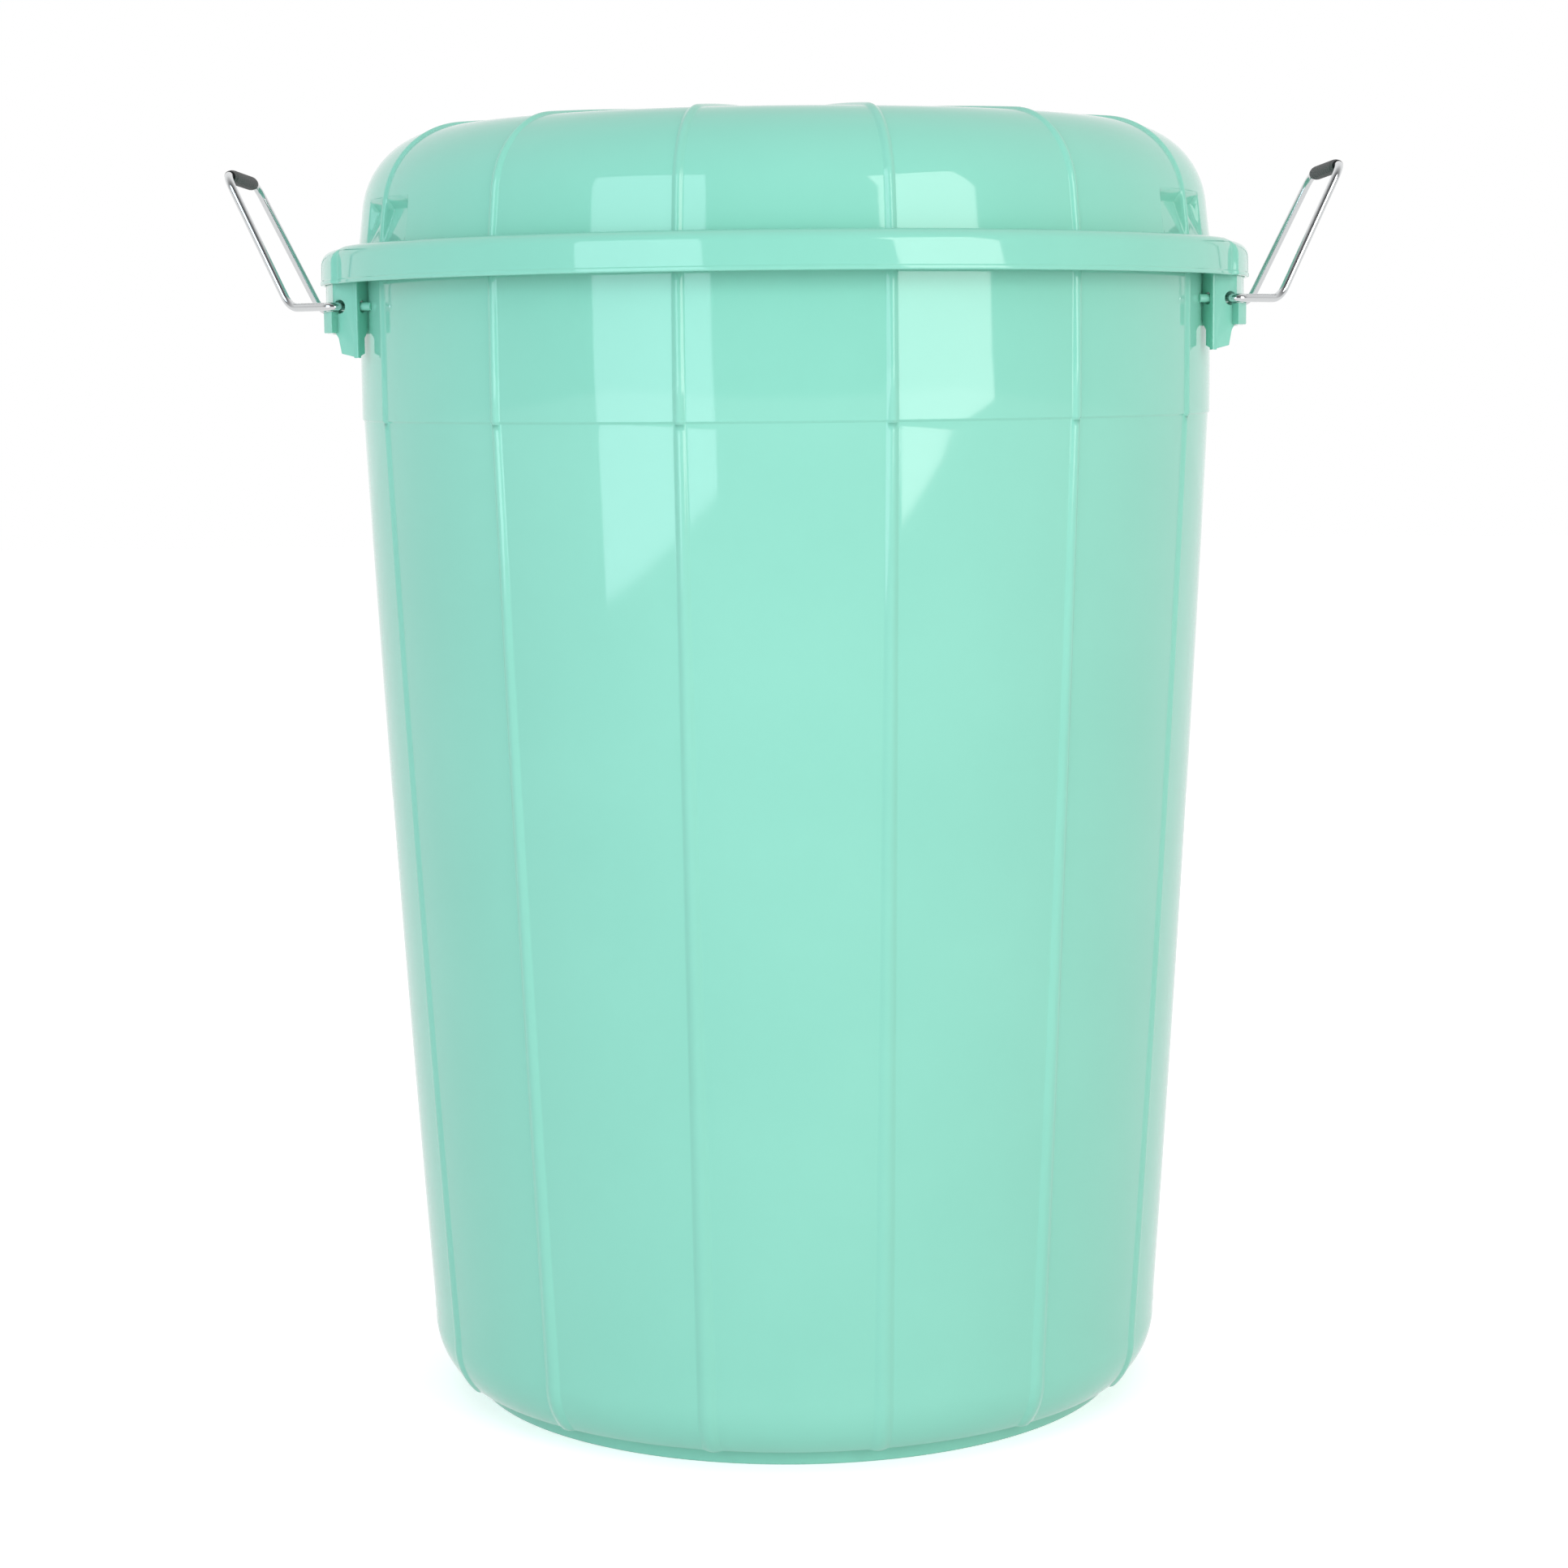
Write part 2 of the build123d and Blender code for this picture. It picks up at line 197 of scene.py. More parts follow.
def rounded(corners: Sequence[tuple[float, float, float]], steps: int = 5) -> list[Point]:
    """Round the corners of an open outline.

    Args:
        corners: Points as radius, height and rounding; rounding 0 keeps the corner.
        steps: Spans in each rounding.

    Returns:
        The outline's points.
    """
    points: list[Point] = []
    for index, (radius, height, rounding) in enumerate(corners):
        here = Vector((radius, height))
        if rounding <= 0 or index in (0, len(corners) - 1):
            points.append((radius, height))
            continue
        before = Vector(corners[index - 1][:2]) - here
        after = Vector(corners[index + 1][:2]) - here
        half = before.angle(after) / 2
        if half > NEARLY_STRAIGHT:
            points += [(radius, height)] * (steps + 1)
            continue
        longest = LONGEST_SHARE * before.length, LONGEST_SHARE * after.length
        reach = min(rounding / math.tan(half), *longest)
        bisector = (before.normalized() + after.normalized()).normalized()
        centre = here + bisector * (reach / math.cos(half))
        first = here + before.normalized() * reach - centre
        last = here + after.normalized() * reach - centre
        turn = first.angle_signed(last)
        for step in range(steps + 1):
            spoke = first.copy()
            spoke.rotate(Matrix.Rotation(-turn * step / steps, 2))
            points.append((centre.x + spoke.x, centre.y + spoke.y))
    return points


def grid_mesh(name: str, rows: Grid, wrap: bool = False) -> bpy.types.Mesh:
    """Make a mesh of quads from rows of points in millimetres.

    Args:
        name: Name of the mesh.
        rows: Rows of equal length.
        wrap: Whether the last column joins the first.

    Returns:
        The mesh in metres.
    """
    width = len(rows[0])
    vertices = [point * MM for row in rows for point in row]
    faces = []
    for row in range(len(rows) - 1):
        for column in range(width if wrap else width - 1):
            right = (column + 1) % width
            faces.append((
                row * width + column,
                row * width + right,
                (row + 1) * width + right,
                (row + 1) * width + column,
            ))
    mesh = bpy.data.meshes.new(name)
    mesh.from_pydata(vertices, [], faces)
    return mesh


def merged(
    name: str, meshes: Sequence[bpy.types.Mesh], closed: bool = True
) -> bpy.types.Mesh:
    """Join meshes into one, weld their seams and poles, and shade them smooth.

    Args:
        name: Name of the new mesh.
        meshes: Meshes to join; they are removed.
        closed: Whether the result is a closed shell whose normals may be recalculated.

    Returns:
        The joined mesh.
    """
    work = bmesh.new()
    for mesh in meshes:
        work.from_mesh(mesh)
        bpy.data.meshes.remove(mesh)
    bmesh.ops.remove_doubles(work, verts=work.verts, dist=WELD_GAP)
    bmesh.ops.dissolve_degenerate(work, edges=work.edges, dist=FINE_GAP)
    if closed:
        bmesh.ops.recalc_face_normals(work, faces=work.faces)
    for face in work.faces:
        face.smooth = True
    result = bpy.data.meshes.new(name)
    work.to_mesh(result)
    work.free()
    return result


def place(name: str, mesh: bpy.types.Mesh, material: bpy.types.Material) -> bpy.types.Object:
    """Put a mesh in the scene as an object at the origin.

    Args:
        name: Name of the object.
        mesh: Its mesh, already in place.
        material: Finish for all of it.

    Returns:
        The new object.
    """
    mesh.materials.clear()
    mesh.materials.append(material)
    piece = bpy.data.objects.new(name, mesh)
    bpy.context.scene.collection.objects.link(piece)
    return piece


def mount(piece: bpy.types.Object, body: str, slot: str, *nodes: str) -> bpy.types.Object:
    """Let a piece ride on a body and hide the model's nodes that it stands for.

    Args:
        piece: The finished piece.
        body: Body that carries it.
        slot: Material slot of the record that it takes its finish from; not used.
        nodes: Nodes of the model that it stands for.

    Returns:
        The same piece.
    """
    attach(piece, body)
    if nodes:
        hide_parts(*nodes)
    LOG.info("%s rides on %s", piece.name, body)
    return piece


# Finishes


def new_finish(name: str) -> tuple[bpy.types.Material, bpy.types.Node, bpy.types.NodeSocket]:
    """Start a material with its shader and the coordinates that its patterns read.

    Args:
        name: Name of the material.

    Returns:
        The material, its main shader and the socket of Object coordinates.
    """
    made = bpy.data.materials.new(name)
    made.use_nodes = True
    coordinates = add_node(made.node_tree, "ShaderNodeTexCoord")
    return made, made.node_tree.nodes["Principled BSDF"], coordinates.outputs["Object"]


@dataclass(frozen=True)
class MouldedPolypropylene:
    """Glossy injection-moulded polypropylene in a pale turquoise.

    A polished mould leaves a clear sheen with a faint waviness, and a whole wall of it
    looks very slightly cloudy, so colour and roughness drift a little over the surface.
    """

    name: str = "turquoise_polypropylene"
    colour: str = "#92D9C4"
    deep_colour: str = "#8AD2BD"
    roughness: float = 0.05
    roughness_span: Point = (-0.015, 0.02)
    cloud_size: float = 90.0
    ripple_size: float = 11.0
    ripple_height: float = 0.02
    ripple_strength: float = 0.25
    ior: float = 1.49

    def material(self) -> bpy.types.Material:
        """Build the node material.

        Returns:
            The finished material.
        """
        made, shader, place_socket = new_finish(self.name)
        tree = made.node_tree
        cloud = add_node(tree, "ShaderNodeTexNoise", {"noise_dimensions": "3D"}, {
            "Vector": place_socket,
            "Scale": 1000 / self.cloud_size,
            "Detail": 3.0,
        })
        colours = add_node(tree, "ShaderNodeMix", {"data_type": "RGBA"}, {
            "Factor": cloud.outputs["Fac"],
            6: linear_colour(self.deep_colour),
            7: linear_colour(self.colour),
        })
        gloss = add_node(tree, "ShaderNodeMapRange", None, {
            "Value": cloud.outputs["Fac"],
            "To Min": self.roughness + self.roughness_span[0],
            "To Max": self.roughness + self.roughness_span[1],
        })
        ripple = add_node(tree, "ShaderNodeTexNoise", {"noise_dimensions": "3D"}, {
            "Vector": place_socket,
            "Scale": 1000 / self.ripple_size,
            "Detail": 2.0,
        })
        bump = add_node(tree, "ShaderNodeBump", None, {
            "Height": ripple.outputs["Fac"],
            "Strength": self.ripple_strength,
            "Distance": self.ripple_height * MM,
        })
        feed(tree, shader, {
            "Base Color": colours.outputs[2],
            "Roughness": gloss.outputs["Result"],
            "Normal": bump.outputs["Normal"],
            "IOR": self.ior,
            "Specular IOR Level": 0.5,
        })
        return made


@dataclass(frozen=True)
class PlatedSteelWire:
    """Drawn steel wire with a bright plating.

    Drawing leaves fine scratches along the wire, so its gloss is a little uneven.
    """

    name: str = "bright_plated_steel_wire"
    colour: str = "#D9DBDC"
    roughness: float = 0.13
    roughness_span: Point = (-0.05, 0.08)
    scratch_size: float = 1.6
    scratch_depth: float = 0.01
    scratch_strength: float = 0.15

    def material(self) -> bpy.types.Material:
        """Build the node material.

        Returns:
            The finished material.
        """
        made, shader, place_socket = new_finish(self.name)
        tree = made.node_tree
        scratch = add_node(tree, "ShaderNodeTexNoise", {"noise_dimensions": "3D"}, {
            "Vector": place_socket,
            "Scale": 1000 / self.scratch_size,
            "Detail": 4.0,
        })
        gloss = add_node(tree, "ShaderNodeMapRange", None, {
            "Value": scratch.outputs["Fac"],
            "To Min": self.roughness + self.roughness_span[0],
            "To Max": self.roughness + self.roughness_span[1],
        })
        bump = add_node(tree, "ShaderNodeBump", None, {
            "Height": scratch.outputs["Fac"],
            "Strength": self.scratch_strength,
            "Distance": self.scratch_depth * MM,
        })
        feed(tree, shader, {
            "Base Color": linear_colour(self.colour),
            "Metallic": 1.0,
            "Roughness": gloss.outputs["Result"],
            "Normal": bump.outputs["Normal"],
        })
        return made


@dataclass(frozen=True)
class GrainedPolyethylene:
    """Dark polyethylene with the fine grain of a spark-eroded mould.

    The grain breaks the light up, so the sleeve looks soft black with no clear highlight.
    """

    name: str = "black_grained_polyethylene"
    colour: str = "#282929"
    worn_colour: str = "#3C3D3D"
    roughness: float = 0.55
    grain_size: float = 0.7
    grain_depth: float = 0.08
    grain_strength: float = 0.6

    def material(self) -> bpy.types.Material:
        """Build the node material.

        Returns:
            The finished material.
        """
        made, shader, place_socket = new_finish(self.name)
        tree = made.node_tree
        grain = add_node(tree, "ShaderNodeTexNoise", {"noise_dimensions": "3D"}, {
            "Vector": place_socket,
            "Scale": 1000 / self.grain_size,
            "Detail": 3.0,
        })
        colours = add_node(tree, "ShaderNodeMix", {"data_type": "RGBA"}, {
            "Factor": grain.outputs["Fac"],
            6: linear_colour(self.colour),
            7: linear_colour(self.worn_colour),
        })
        bump = add_node(tree, "ShaderNodeBump", None, {
            "Height": grain.outputs["Fac"],
            "Strength": self.grain_strength,
            "Distance": self.grain_depth * MM,
        })
        feed(tree, shader, {
            "Base Color": colours.outputs[2],
            "Roughness": self.roughness,
            "Normal": bump.outputs["Normal"],
        })
        return made


# Ribs and panels that repeat round the axis


@dataclass
class PanelRing:
    """Repeats one panel, with the rib along its middle, round the drum's axis."""

    count: int = RIBS
    period: int = 1
    first: int = 0
    second: int = 0
    keep_matches: bool = True

    def tree(self, material: bpy.types.Material) -> bpy.types.NodeTree:
        """Build the node tree that turns copies of a panel about the axis.

        Args:
            material: Finish set on all copies.

        Returns:
            The tree, with inputs named for what they do.
        """
        tree = bpy.data.node_groups.new("panel_ring", "GeometryNodeTree")
        face = tree.interface
        face.new_socket("Geometry", in_out="INPUT", socket_type="NodeSocketGeometry")
        for name in ("Count", "Period", "First Match", "Second Match"):
            face.new_socket(name, in_out="INPUT", socket_type="NodeSocketInt")
        face.new_socket("Keep Matches", in_out="INPUT", socket_type="NodeSocketBool")
        face.new_socket("Geometry", in_out="OUTPUT", socket_type="NodeSocketGeometry")
        given = add_node(tree, "NodeGroupInput").outputs
        index = add_node(tree, "GeometryNodeInputIndex").outputs[0]
        points = add_node(tree, "GeometryNodePoints", None, {"Count": given["Count"]})
        step = add_node(tree, "ShaderNodeMath", {"operation": "DIVIDE"}, {
            0: math.tau, 1: given["Count"],
        })
        angle = add_node(tree, "ShaderNodeMath", {"operation": "MULTIPLY"}, {
            0: index, 1: step.outputs[0],
        })
        turn = add_node(tree, "ShaderNodeCombineXYZ", None, {"Z": angle.outputs[0]})
        rest = add_node(tree, "ShaderNodeMath", {"operation": "FLOORED_MODULO"}, {
            0: index, 1: given["Period"],
        })
        one, two = (
            add_node(tree, "ShaderNodeMath", {"operation": "COMPARE"}, {
                0: rest.outputs[0], 1: given[name], 2: SAME_NUMBER,
            })
            for name in ("First Match", "Second Match")
        )
        either = add_node(tree, "ShaderNodeMath", {"operation": "MAXIMUM"}, {
            0: one.outputs[0], 1: two.outputs[0],
        })
        chosen = add_node(tree, "ShaderNodeMath", {"operation": "COMPARE"}, {
            0: either.outputs[0], 1: given["Keep Matches"], 2: SAME_NUMBER,
        })
        copies = add_node(tree, "GeometryNodeInstanceOnPoints", None, {
            "Points": points.outputs[0],
            "Selection": chosen.outputs[0],
            "Instance": given["Geometry"],
            "Rotation": turn.outputs[0],
        })
        real = add_node(tree, "GeometryNodeRealizeInstances", None, {
            "Geometry": copies.outputs[0],
        })
        coated = add_node(tree, "GeometryNodeSetMaterial", None, {
            "Geometry": real.outputs[0], "Material": material,
        })
        add_node(tree, "NodeGroupOutput", None, {"Geometry": coated.outputs[0]})
        return tree

    def repeat(self, panel: bpy.types.Mesh, material: bpy.types.Material) -> bpy.types.Mesh:
        """Repeat a panel round the axis and return the copies as one plain mesh.

        Args:
            panel: Mesh of one panel about +X; it is removed.
            material: Finish set on all copies.

        Returns:
            The new mesh.
        """
        holder = place("panel_source", panel, material)
        tree = self.tree(material)
        modifier = holder.modifiers.new("ring", "NODES")
        modifier.node_group = tree
        values = {
            "Count": self.count,
            "Period": self.period,
            "First Match": self.first,
            "Second Match": self.second,
            "Keep Matches": self.keep_matches,
        }
        for item in tree.interface.items_tree:
            if item.in_out == "INPUT" and item.name in values:
                modifier[item.identifier] = values[item.name]
        bpy.context.view_layer.update()
        seen = holder.evaluated_get(bpy.context.evaluated_depsgraph_get())
        result = bpy.data.meshes.new_from_object(seen)
        holder.modifiers.clear()
        bpy.data.objects.remove(holder)
        bpy.data.meshes.remove(panel)
        bpy.data.node_groups.remove(tree)
        return result


def panel_angles(half: float, bands: Sequence[tuple[float, float]]) -> list[float]:
    """List the column angles of one panel, denser near its rib.

    Args:
        half: Half the panel's angle in degrees.
        bands: Pairs of outer angle and spacing, from the rib outwards.

    Returns:
        Angles in degrees from -half to half.
    """
    side = [0.0]
    for outer, spacing in [*bands, (half, COARSE_SPACING)]:
        start = side[-1]
        steps = max(1, math.ceil((outer - start) / spacing - 1e-6))
        side += [start + (outer - start) * step / steps for step in range(1, steps + 1)]
    return [-angle for angle in reversed(side[1:])] + side


def profile_normals(points: Sequence[Point]) -> list[Point]:
    """Return the outward normal at each point of an outline that runs downwards outside.

    Args:
        points: Outline as radius and height.

    Returns:
        One unit normal for each point.
    """
    normals = []
    for index in range(len(points)):
        before = points[max(0, index - 1)]
        after = points[min(len(points) - 1, index + 1)]
        run_r, run_z = after[0] - before[0], after[1] - before[1]
        length = math.hypot(run_r, run_z) or 1.0
        normals.append((-run_z / length, run_r / length))
    return normals


@dataclass
class DrumShell:
    """The drum's body: a tapered wall with ribs, a stepped band, a rim and a foot ring."""

    wall: float = 2.6
    foot_radius: float = 166.0
    foot_wall: float = 4.0
    foot_height: float = 9.6
    floor: float = 3.0
    edge_radius: float = 176.3
    corner_radius: float = 186.2
    corner_height: float = 36.0
    corner_bulge: float = 3.0
    step_radius: float = 211.5
    step_height: float = 492.0
    wall_bulge: float = 1.2
    band_step: float = 0.8
    rim_height: float = 571.5
    rim_lip: float = 4.5
    rim_lip_depth: float = 5.0
    rib_height: float = 1.5
    rib_low: float = 4.7
    rib_high: float = 2.6
    rib_crest: float = 1.15
    rib_bands: tuple[Point, ...] = ((1.0, 0.125), (1.75, 0.15))
    rib_fade: float = 2.0
    rib_reach: float = 60.0
    rib_undercut: float = 0.35
    rim_points: int = 20
    rim_depth: float = 30.0
    foot_reach: float = 3.0

    @property
    def band_radius(self) -> float:
        """Return the outside radius of the band above the step."""
        return self.step_radius + self.band_step

    def outside(self) -> list[Point]:
        """Outline the outside, from the rim's inner corner down to the foot ring.

        Returns:
            The outline as radius and height.
        """
        corner = (self.corner_radius, self.corner_height)
        rim = rounded([
            (self.band_radius - self.wall, self.rim_height - self.rim_depth, 0),
            (self.band_radius - self.wall, self.rim_height, 0.8),
            (self.band_radius + self.rim_lip, self.rim_height, 1.6),
            (self.band_radius + self.rim_lip, self.rim_height - self.rim_lip_depth, 1.2),
            (self.band_radius, self.rim_height - self.rim_lip_depth, 1.0),
            (self.band_radius, self.rim_height - 12, 0),
            (self.band_radius, self.step_height + 30, 0),
            (self.band_radius, self.step_height + self.band_step, 0.6),
            (self.step_radius, self.step_height - 0.2, 0.6),
            (self.step_radius - 0.2, self.step_height - 4, 0),
        ], 4)
        step = (self.step_radius, self.step_height)
        long_wall = bulged(step, corner, self.wall_bulge, 26)[1:]
        edge = (self.edge_radius, self.foot_height)
        low = bulged(corner, edge, self.corner_bulge, 14)[1:-1]
        foot = rounded([
            (*low[-1], 0),
            (self.edge_radius, self.foot_height, 1.4),
            (self.foot_radius, self.foot_height, 0.8),
            (self.foot_radius, 0, 1.2),
            (self.foot_radius - self.foot_wall, 0, 1.2),
            (self.foot_radius - self.foot_wall, self.foot_height, 1.5),
            (self.foot_radius - 30, self.foot_height, 0),
            (0, self.foot_height, 0),
        ], 5)[1:]
        return rim + long_wall + low + foot

    def inside(self) -> list[Point]:
        """Outline the inside, from the floor's centre up to the rim's inner corner.

        Returns:
            The outline as radius and height.
        """
        floor = self.foot_height + self.floor
        corner = (self.corner_radius - self.wall, self.corner_height)
        low = bulged((self.edge_radius - self.wall, floor), corner, self.corner_bulge, 8)
        step = (self.step_radius - self.wall, self.step_height)
        high = bulged(corner, step, self.wall_bulge, 16)[1:]
        start = rounded([(0, floor, 0), (120, floor, 0), (*low[0], 5.0), (*low[2], 0)], 5)[:-1]
        return start + low[2:] + high + [
            (self.band_radius - self.wall, self.step_height + self.band_step),
            (self.band_radius - self.wall, self.rim_height - self.rim_depth),
        ]

    def rib(self, across: float, height: float) -> float:
        """Return how far the rib stands off the wall.

        Args:
            across: Distance from the rib's middle in millimetres.
            height: Height above the ground.

        Returns:
            The distance in millimetres.
        """
        high = self.rim_height - self.rim_lip_depth - 1
        if height > high + self.rib_fade or height < -1:
            return 0.0
        half = self.rib_low + (self.rib_high - self.rib_low) * height / high
        body = max(0.0, 1 - (across / half) ** 2) ** self.rib_crest
        top = 1 - smooth((height - high) / self.rib_fade)
        return self.rib_height * body * top

    def panel(self) -> bpy.types.Mesh:
        """Build one panel about +X as a strip of the drum's wall and floor.

        Returns:
            The panel's mesh with its outer and inner faces.
        """
        outline = self.outside()
        normals = profile_normals(outline)
        angles = panel_angles(HALF_PANEL, self.rib_bands)
        last_rib = next(
            index for index, point in enumerate(outline)
            if point[1] < self.corner_height and point[0] < self.edge_radius - self.foot_reach
        )
        rows: Grid = []
        for index, ((radius, height), (out_r, out_z)) in enumerate(zip(outline, normals)):
            ribbed = (
                self.rim_points < index <= last_rib
                and radius > self.band_radius - self.rib_reach
            )
            row = []
            for angle in angles:
                turn = math.radians(angle)
                lift = self.rib(turn * radius, height) if ribbed else 0.0
                if out_z < 0:
                    lift *= 1 - self.rib_undercut * abs(out_z)
                row.append(ring_point(radius + lift * out_r, turn, height + lift * out_z))
            rows.append(row)
        for radius, height in self.inside():
            rows.append([ring_point(radius, math.radians(angle), height) for angle in angles])
        return grid_mesh("drum_panel", rows)

    def build(self, material: bpy.types.Material) -> bpy.types.Object:
        """Build the drum's body from repeated panels.

        Args:
            material: Finish of the drum.

        Returns:
            The body as one object.
        """
        ring = PanelRing().repeat(self.panel(), material)
        mesh = merged("drum_body", [ring])
        return place("drum_body", mesh, material)


@dataclass
class LidDome:
    """The lid's domed top with its ribs, its plain middle and the finger recesses."""

    wall: float = 2.0
    radius: float = 212.0
    flange_top: float = 576.2
    height: float = 63.9
    draft: float = 6.6
    crown_rise: float = 10.4
    shoulder: float = 42.0
    rib_half: float = 2.4
    rib_crest: float = 1.15
    rib_height: float = 1.3
    disc_radius: float = 46.0
    disc_height: float = 1.3
    disc_edge: float = 1.5
    recess_angle: float = 7.2
    recess_height: float = 16.0
    recess_ceiling: float = 5.0
    recess_depth: float = 4.4
    recess_foot: float = 0.5
    recess_break: float = 0.4
    wall_steps: int = 18
    shoulder_steps: int = 22
    crown_steps: int = 26
    rib_bands: tuple[Point, ...] = ((0.9, 0.1), (3.2, 0.46))

    def outline(self, shrink: float) -> list[Point]:
        """Return the dome's outline from its foot to the crown's middle.

        Args:
            shrink: How far the outline lies inside the outer face.

        Returns:
            The outline as radius and height.
        """
        lean = math.tan(math.radians(self.draft))
        peak = self.flange_top + self.height - shrink
        corner_z = peak - self.crown_rise
        corner_r = self.radius - shrink - lean * (corner_z - self.flange_top)
        sphere = (corner_r ** 2 + self.crown_rise ** 2) / (2 * self.crown_rise)
        foot_r = self.radius - shrink
        bend = self.shoulder - shrink
        inner = foot_r - bend * math.hypot(1, lean)
        centre = sphere - (self.height - shrink)
        square, linear = 1 + lean ** 2, centre - inner * lean
        rest = inner ** 2 + centre ** 2 - (sphere - bend) ** 2
        bend_z = (-linear + math.sqrt(linear ** 2 - square * rest)) / square
        bend_r = inner - lean * bend_z
        first, last = math.atan(lean), math.atan2(bend_z + centre, bend_r)
        shoulder = []
        for step in range(self.shoulder_steps + 1):
            spin = first + (last - first) * step / self.shoulder_steps
            height = self.flange_top + bend_z + bend * math.sin(spin)
            shoulder.append((bend_r + bend * math.cos(spin), height))
        top_r, top_z = shoulder[0]
        wall = [
            (
                foot_r + (top_r - foot_r) * step / self.wall_steps,
                self.flange_top + (top_z - self.flange_top) * step / self.wall_steps,
            )
            for step in range(self.wall_steps + 1)
        ]
        crown = []
        for step in range(1, self.crown_steps + 1):
            radius = shoulder[-1][0] * (1 - step / self.crown_steps)
            crown.append((radius, peak - (sphere - math.sqrt(sphere ** 2 - radius ** 2))))
        return wall + shoulder[1:] + crown

    def recess(self, angle: float, height: float) -> float:
        """Return how deep the finger recess is at a place on the dome's wall.

        Args:
            angle: Degrees from the rib the recess is centred on.
            height: Height above the flange.

        Returns:
            The depth in millimetres.
        """
        side = 1 - smooth((abs(angle) - self.recess_angle + STEP_WIDTH / 2) / STEP_WIDTH)
        if height > self.recess_height:
            depth = self.recess_depth * (1 - (height - self.recess_height) / self.recess_ceiling)
        else:
            growth = self.recess_depth - self.recess_foot
            depth = self.recess_foot + growth * height / self.recess_height
        return max(0.0, depth) * side

    def lift(self, turn: float, radius: float, height: float, slope: float) -> float:
        """Return how far ribs and the plain middle stand off the dome.

        Args:
            turn: Radians from the rib.
            radius: Distance from the axis.
            height: Height above the flange.
            slope: Upward part of the surface normal.

        Returns:
            The distance in millimetres.
        """
        across = abs(turn) * radius
        rib = self.rib_height * max(0.0, 1 - (across / self.rib_half) ** 2) ** self.rib_crest
        from_edge = radius - self.disc_radius
        middle = self.disc_height * (1 - smooth((from_edge + self.disc_edge) / self.disc_edge))
        return max(rib if from_edge > -2 else 0.0, middle if slope > 0.5 else 0.0)

    def panel(self, recessed: bool) -> bpy.types.Mesh:
        """Build one panel of the dome about +X.

        Args:
            recessed: Whether the panel has a finger recess.

        Returns:
            The panel's mesh with its outer and inner faces.
        """
        bands = list(self.rib_bands)
        if recessed:
            bands += [(self.recess_angle - 0.6, 0.8), (self.recess_angle + 0.6, 0.12)]
        angles = panel_angles(HALF_PANEL, bands)
        outer = self.outline(0)
        extra = [z + self.flange_top for z in (
            self.recess_height - self.recess_break, self.recess_height,
            self.recess_height + self.recess_break, self.recess_height + self.recess_ceiling,
        )]
        lean = math.tan(math.radians(self.draft))
        if recessed:
            outer += [(self.radius - lean * (z - self.flange_top), z) for z in extra]
            walled, added = self.wall_steps + 1, len(extra)
            head = sorted(outer[:walled] + outer[-added:], key=lambda point: point[1])
            outer = head + outer[walled:-added]
        normals = profile_normals([(radius, -height) for radius, height in outer])
        rows: Grid = []
        for (radius, height), (out_r, out_z) in zip(outer, normals):
            row = []
            above = height - self.flange_top
            for angle in angles:
                turn = math.radians(angle)
                lift = self.lift(turn, radius, above, -out_z)
                sink = self.recess(angle, above) if recessed else 0.0
                rib_share = 1 - smooth((abs(turn) * radius / self.rib_half - 0.7) / 0.5)
                sink *= 1 - rib_share
                row.append(ring_point(radius + lift * out_r - sink, turn, height - lift * out_z))
            rows.append(row)
        for radius, height in reversed(self.outline(self.wall)):
            row = []
            for angle in angles:
                sink = self.recess(angle, height - self.flange_top + 1.0) if recessed else 0.0
                row.append(ring_point(radius - sink, math.radians(angle), height))
            rows.append(row)
        rows = [[point - Vector((0, 0, 0.6)) for point in rows[0]]] + rows
        rows.append([point - Vector((0, 0, 2.0)) for point in rows[-1]])
        rows.append(rows[0])
        return grid_mesh("dome_panel", rows)

    def build(self, material: bpy.types.Material) -> bpy.types.Object:
        """Build the dome from plain and recessed panels.

        Args:
            material: Finish of the lid.

        Returns:
            The dome as one object.
        """
        plain = PanelRing(period=7, first=1, second=6, keep_matches=False)
        recessed = PanelRing(period=7, first=1, second=6, keep_matches=True)
        mesh = merged("lid_dome", [
            plain.repeat(self.panel(False), material),
            recessed.repeat(self.panel(True), material),
        ])
        return place("lid_dome", mesh, material)


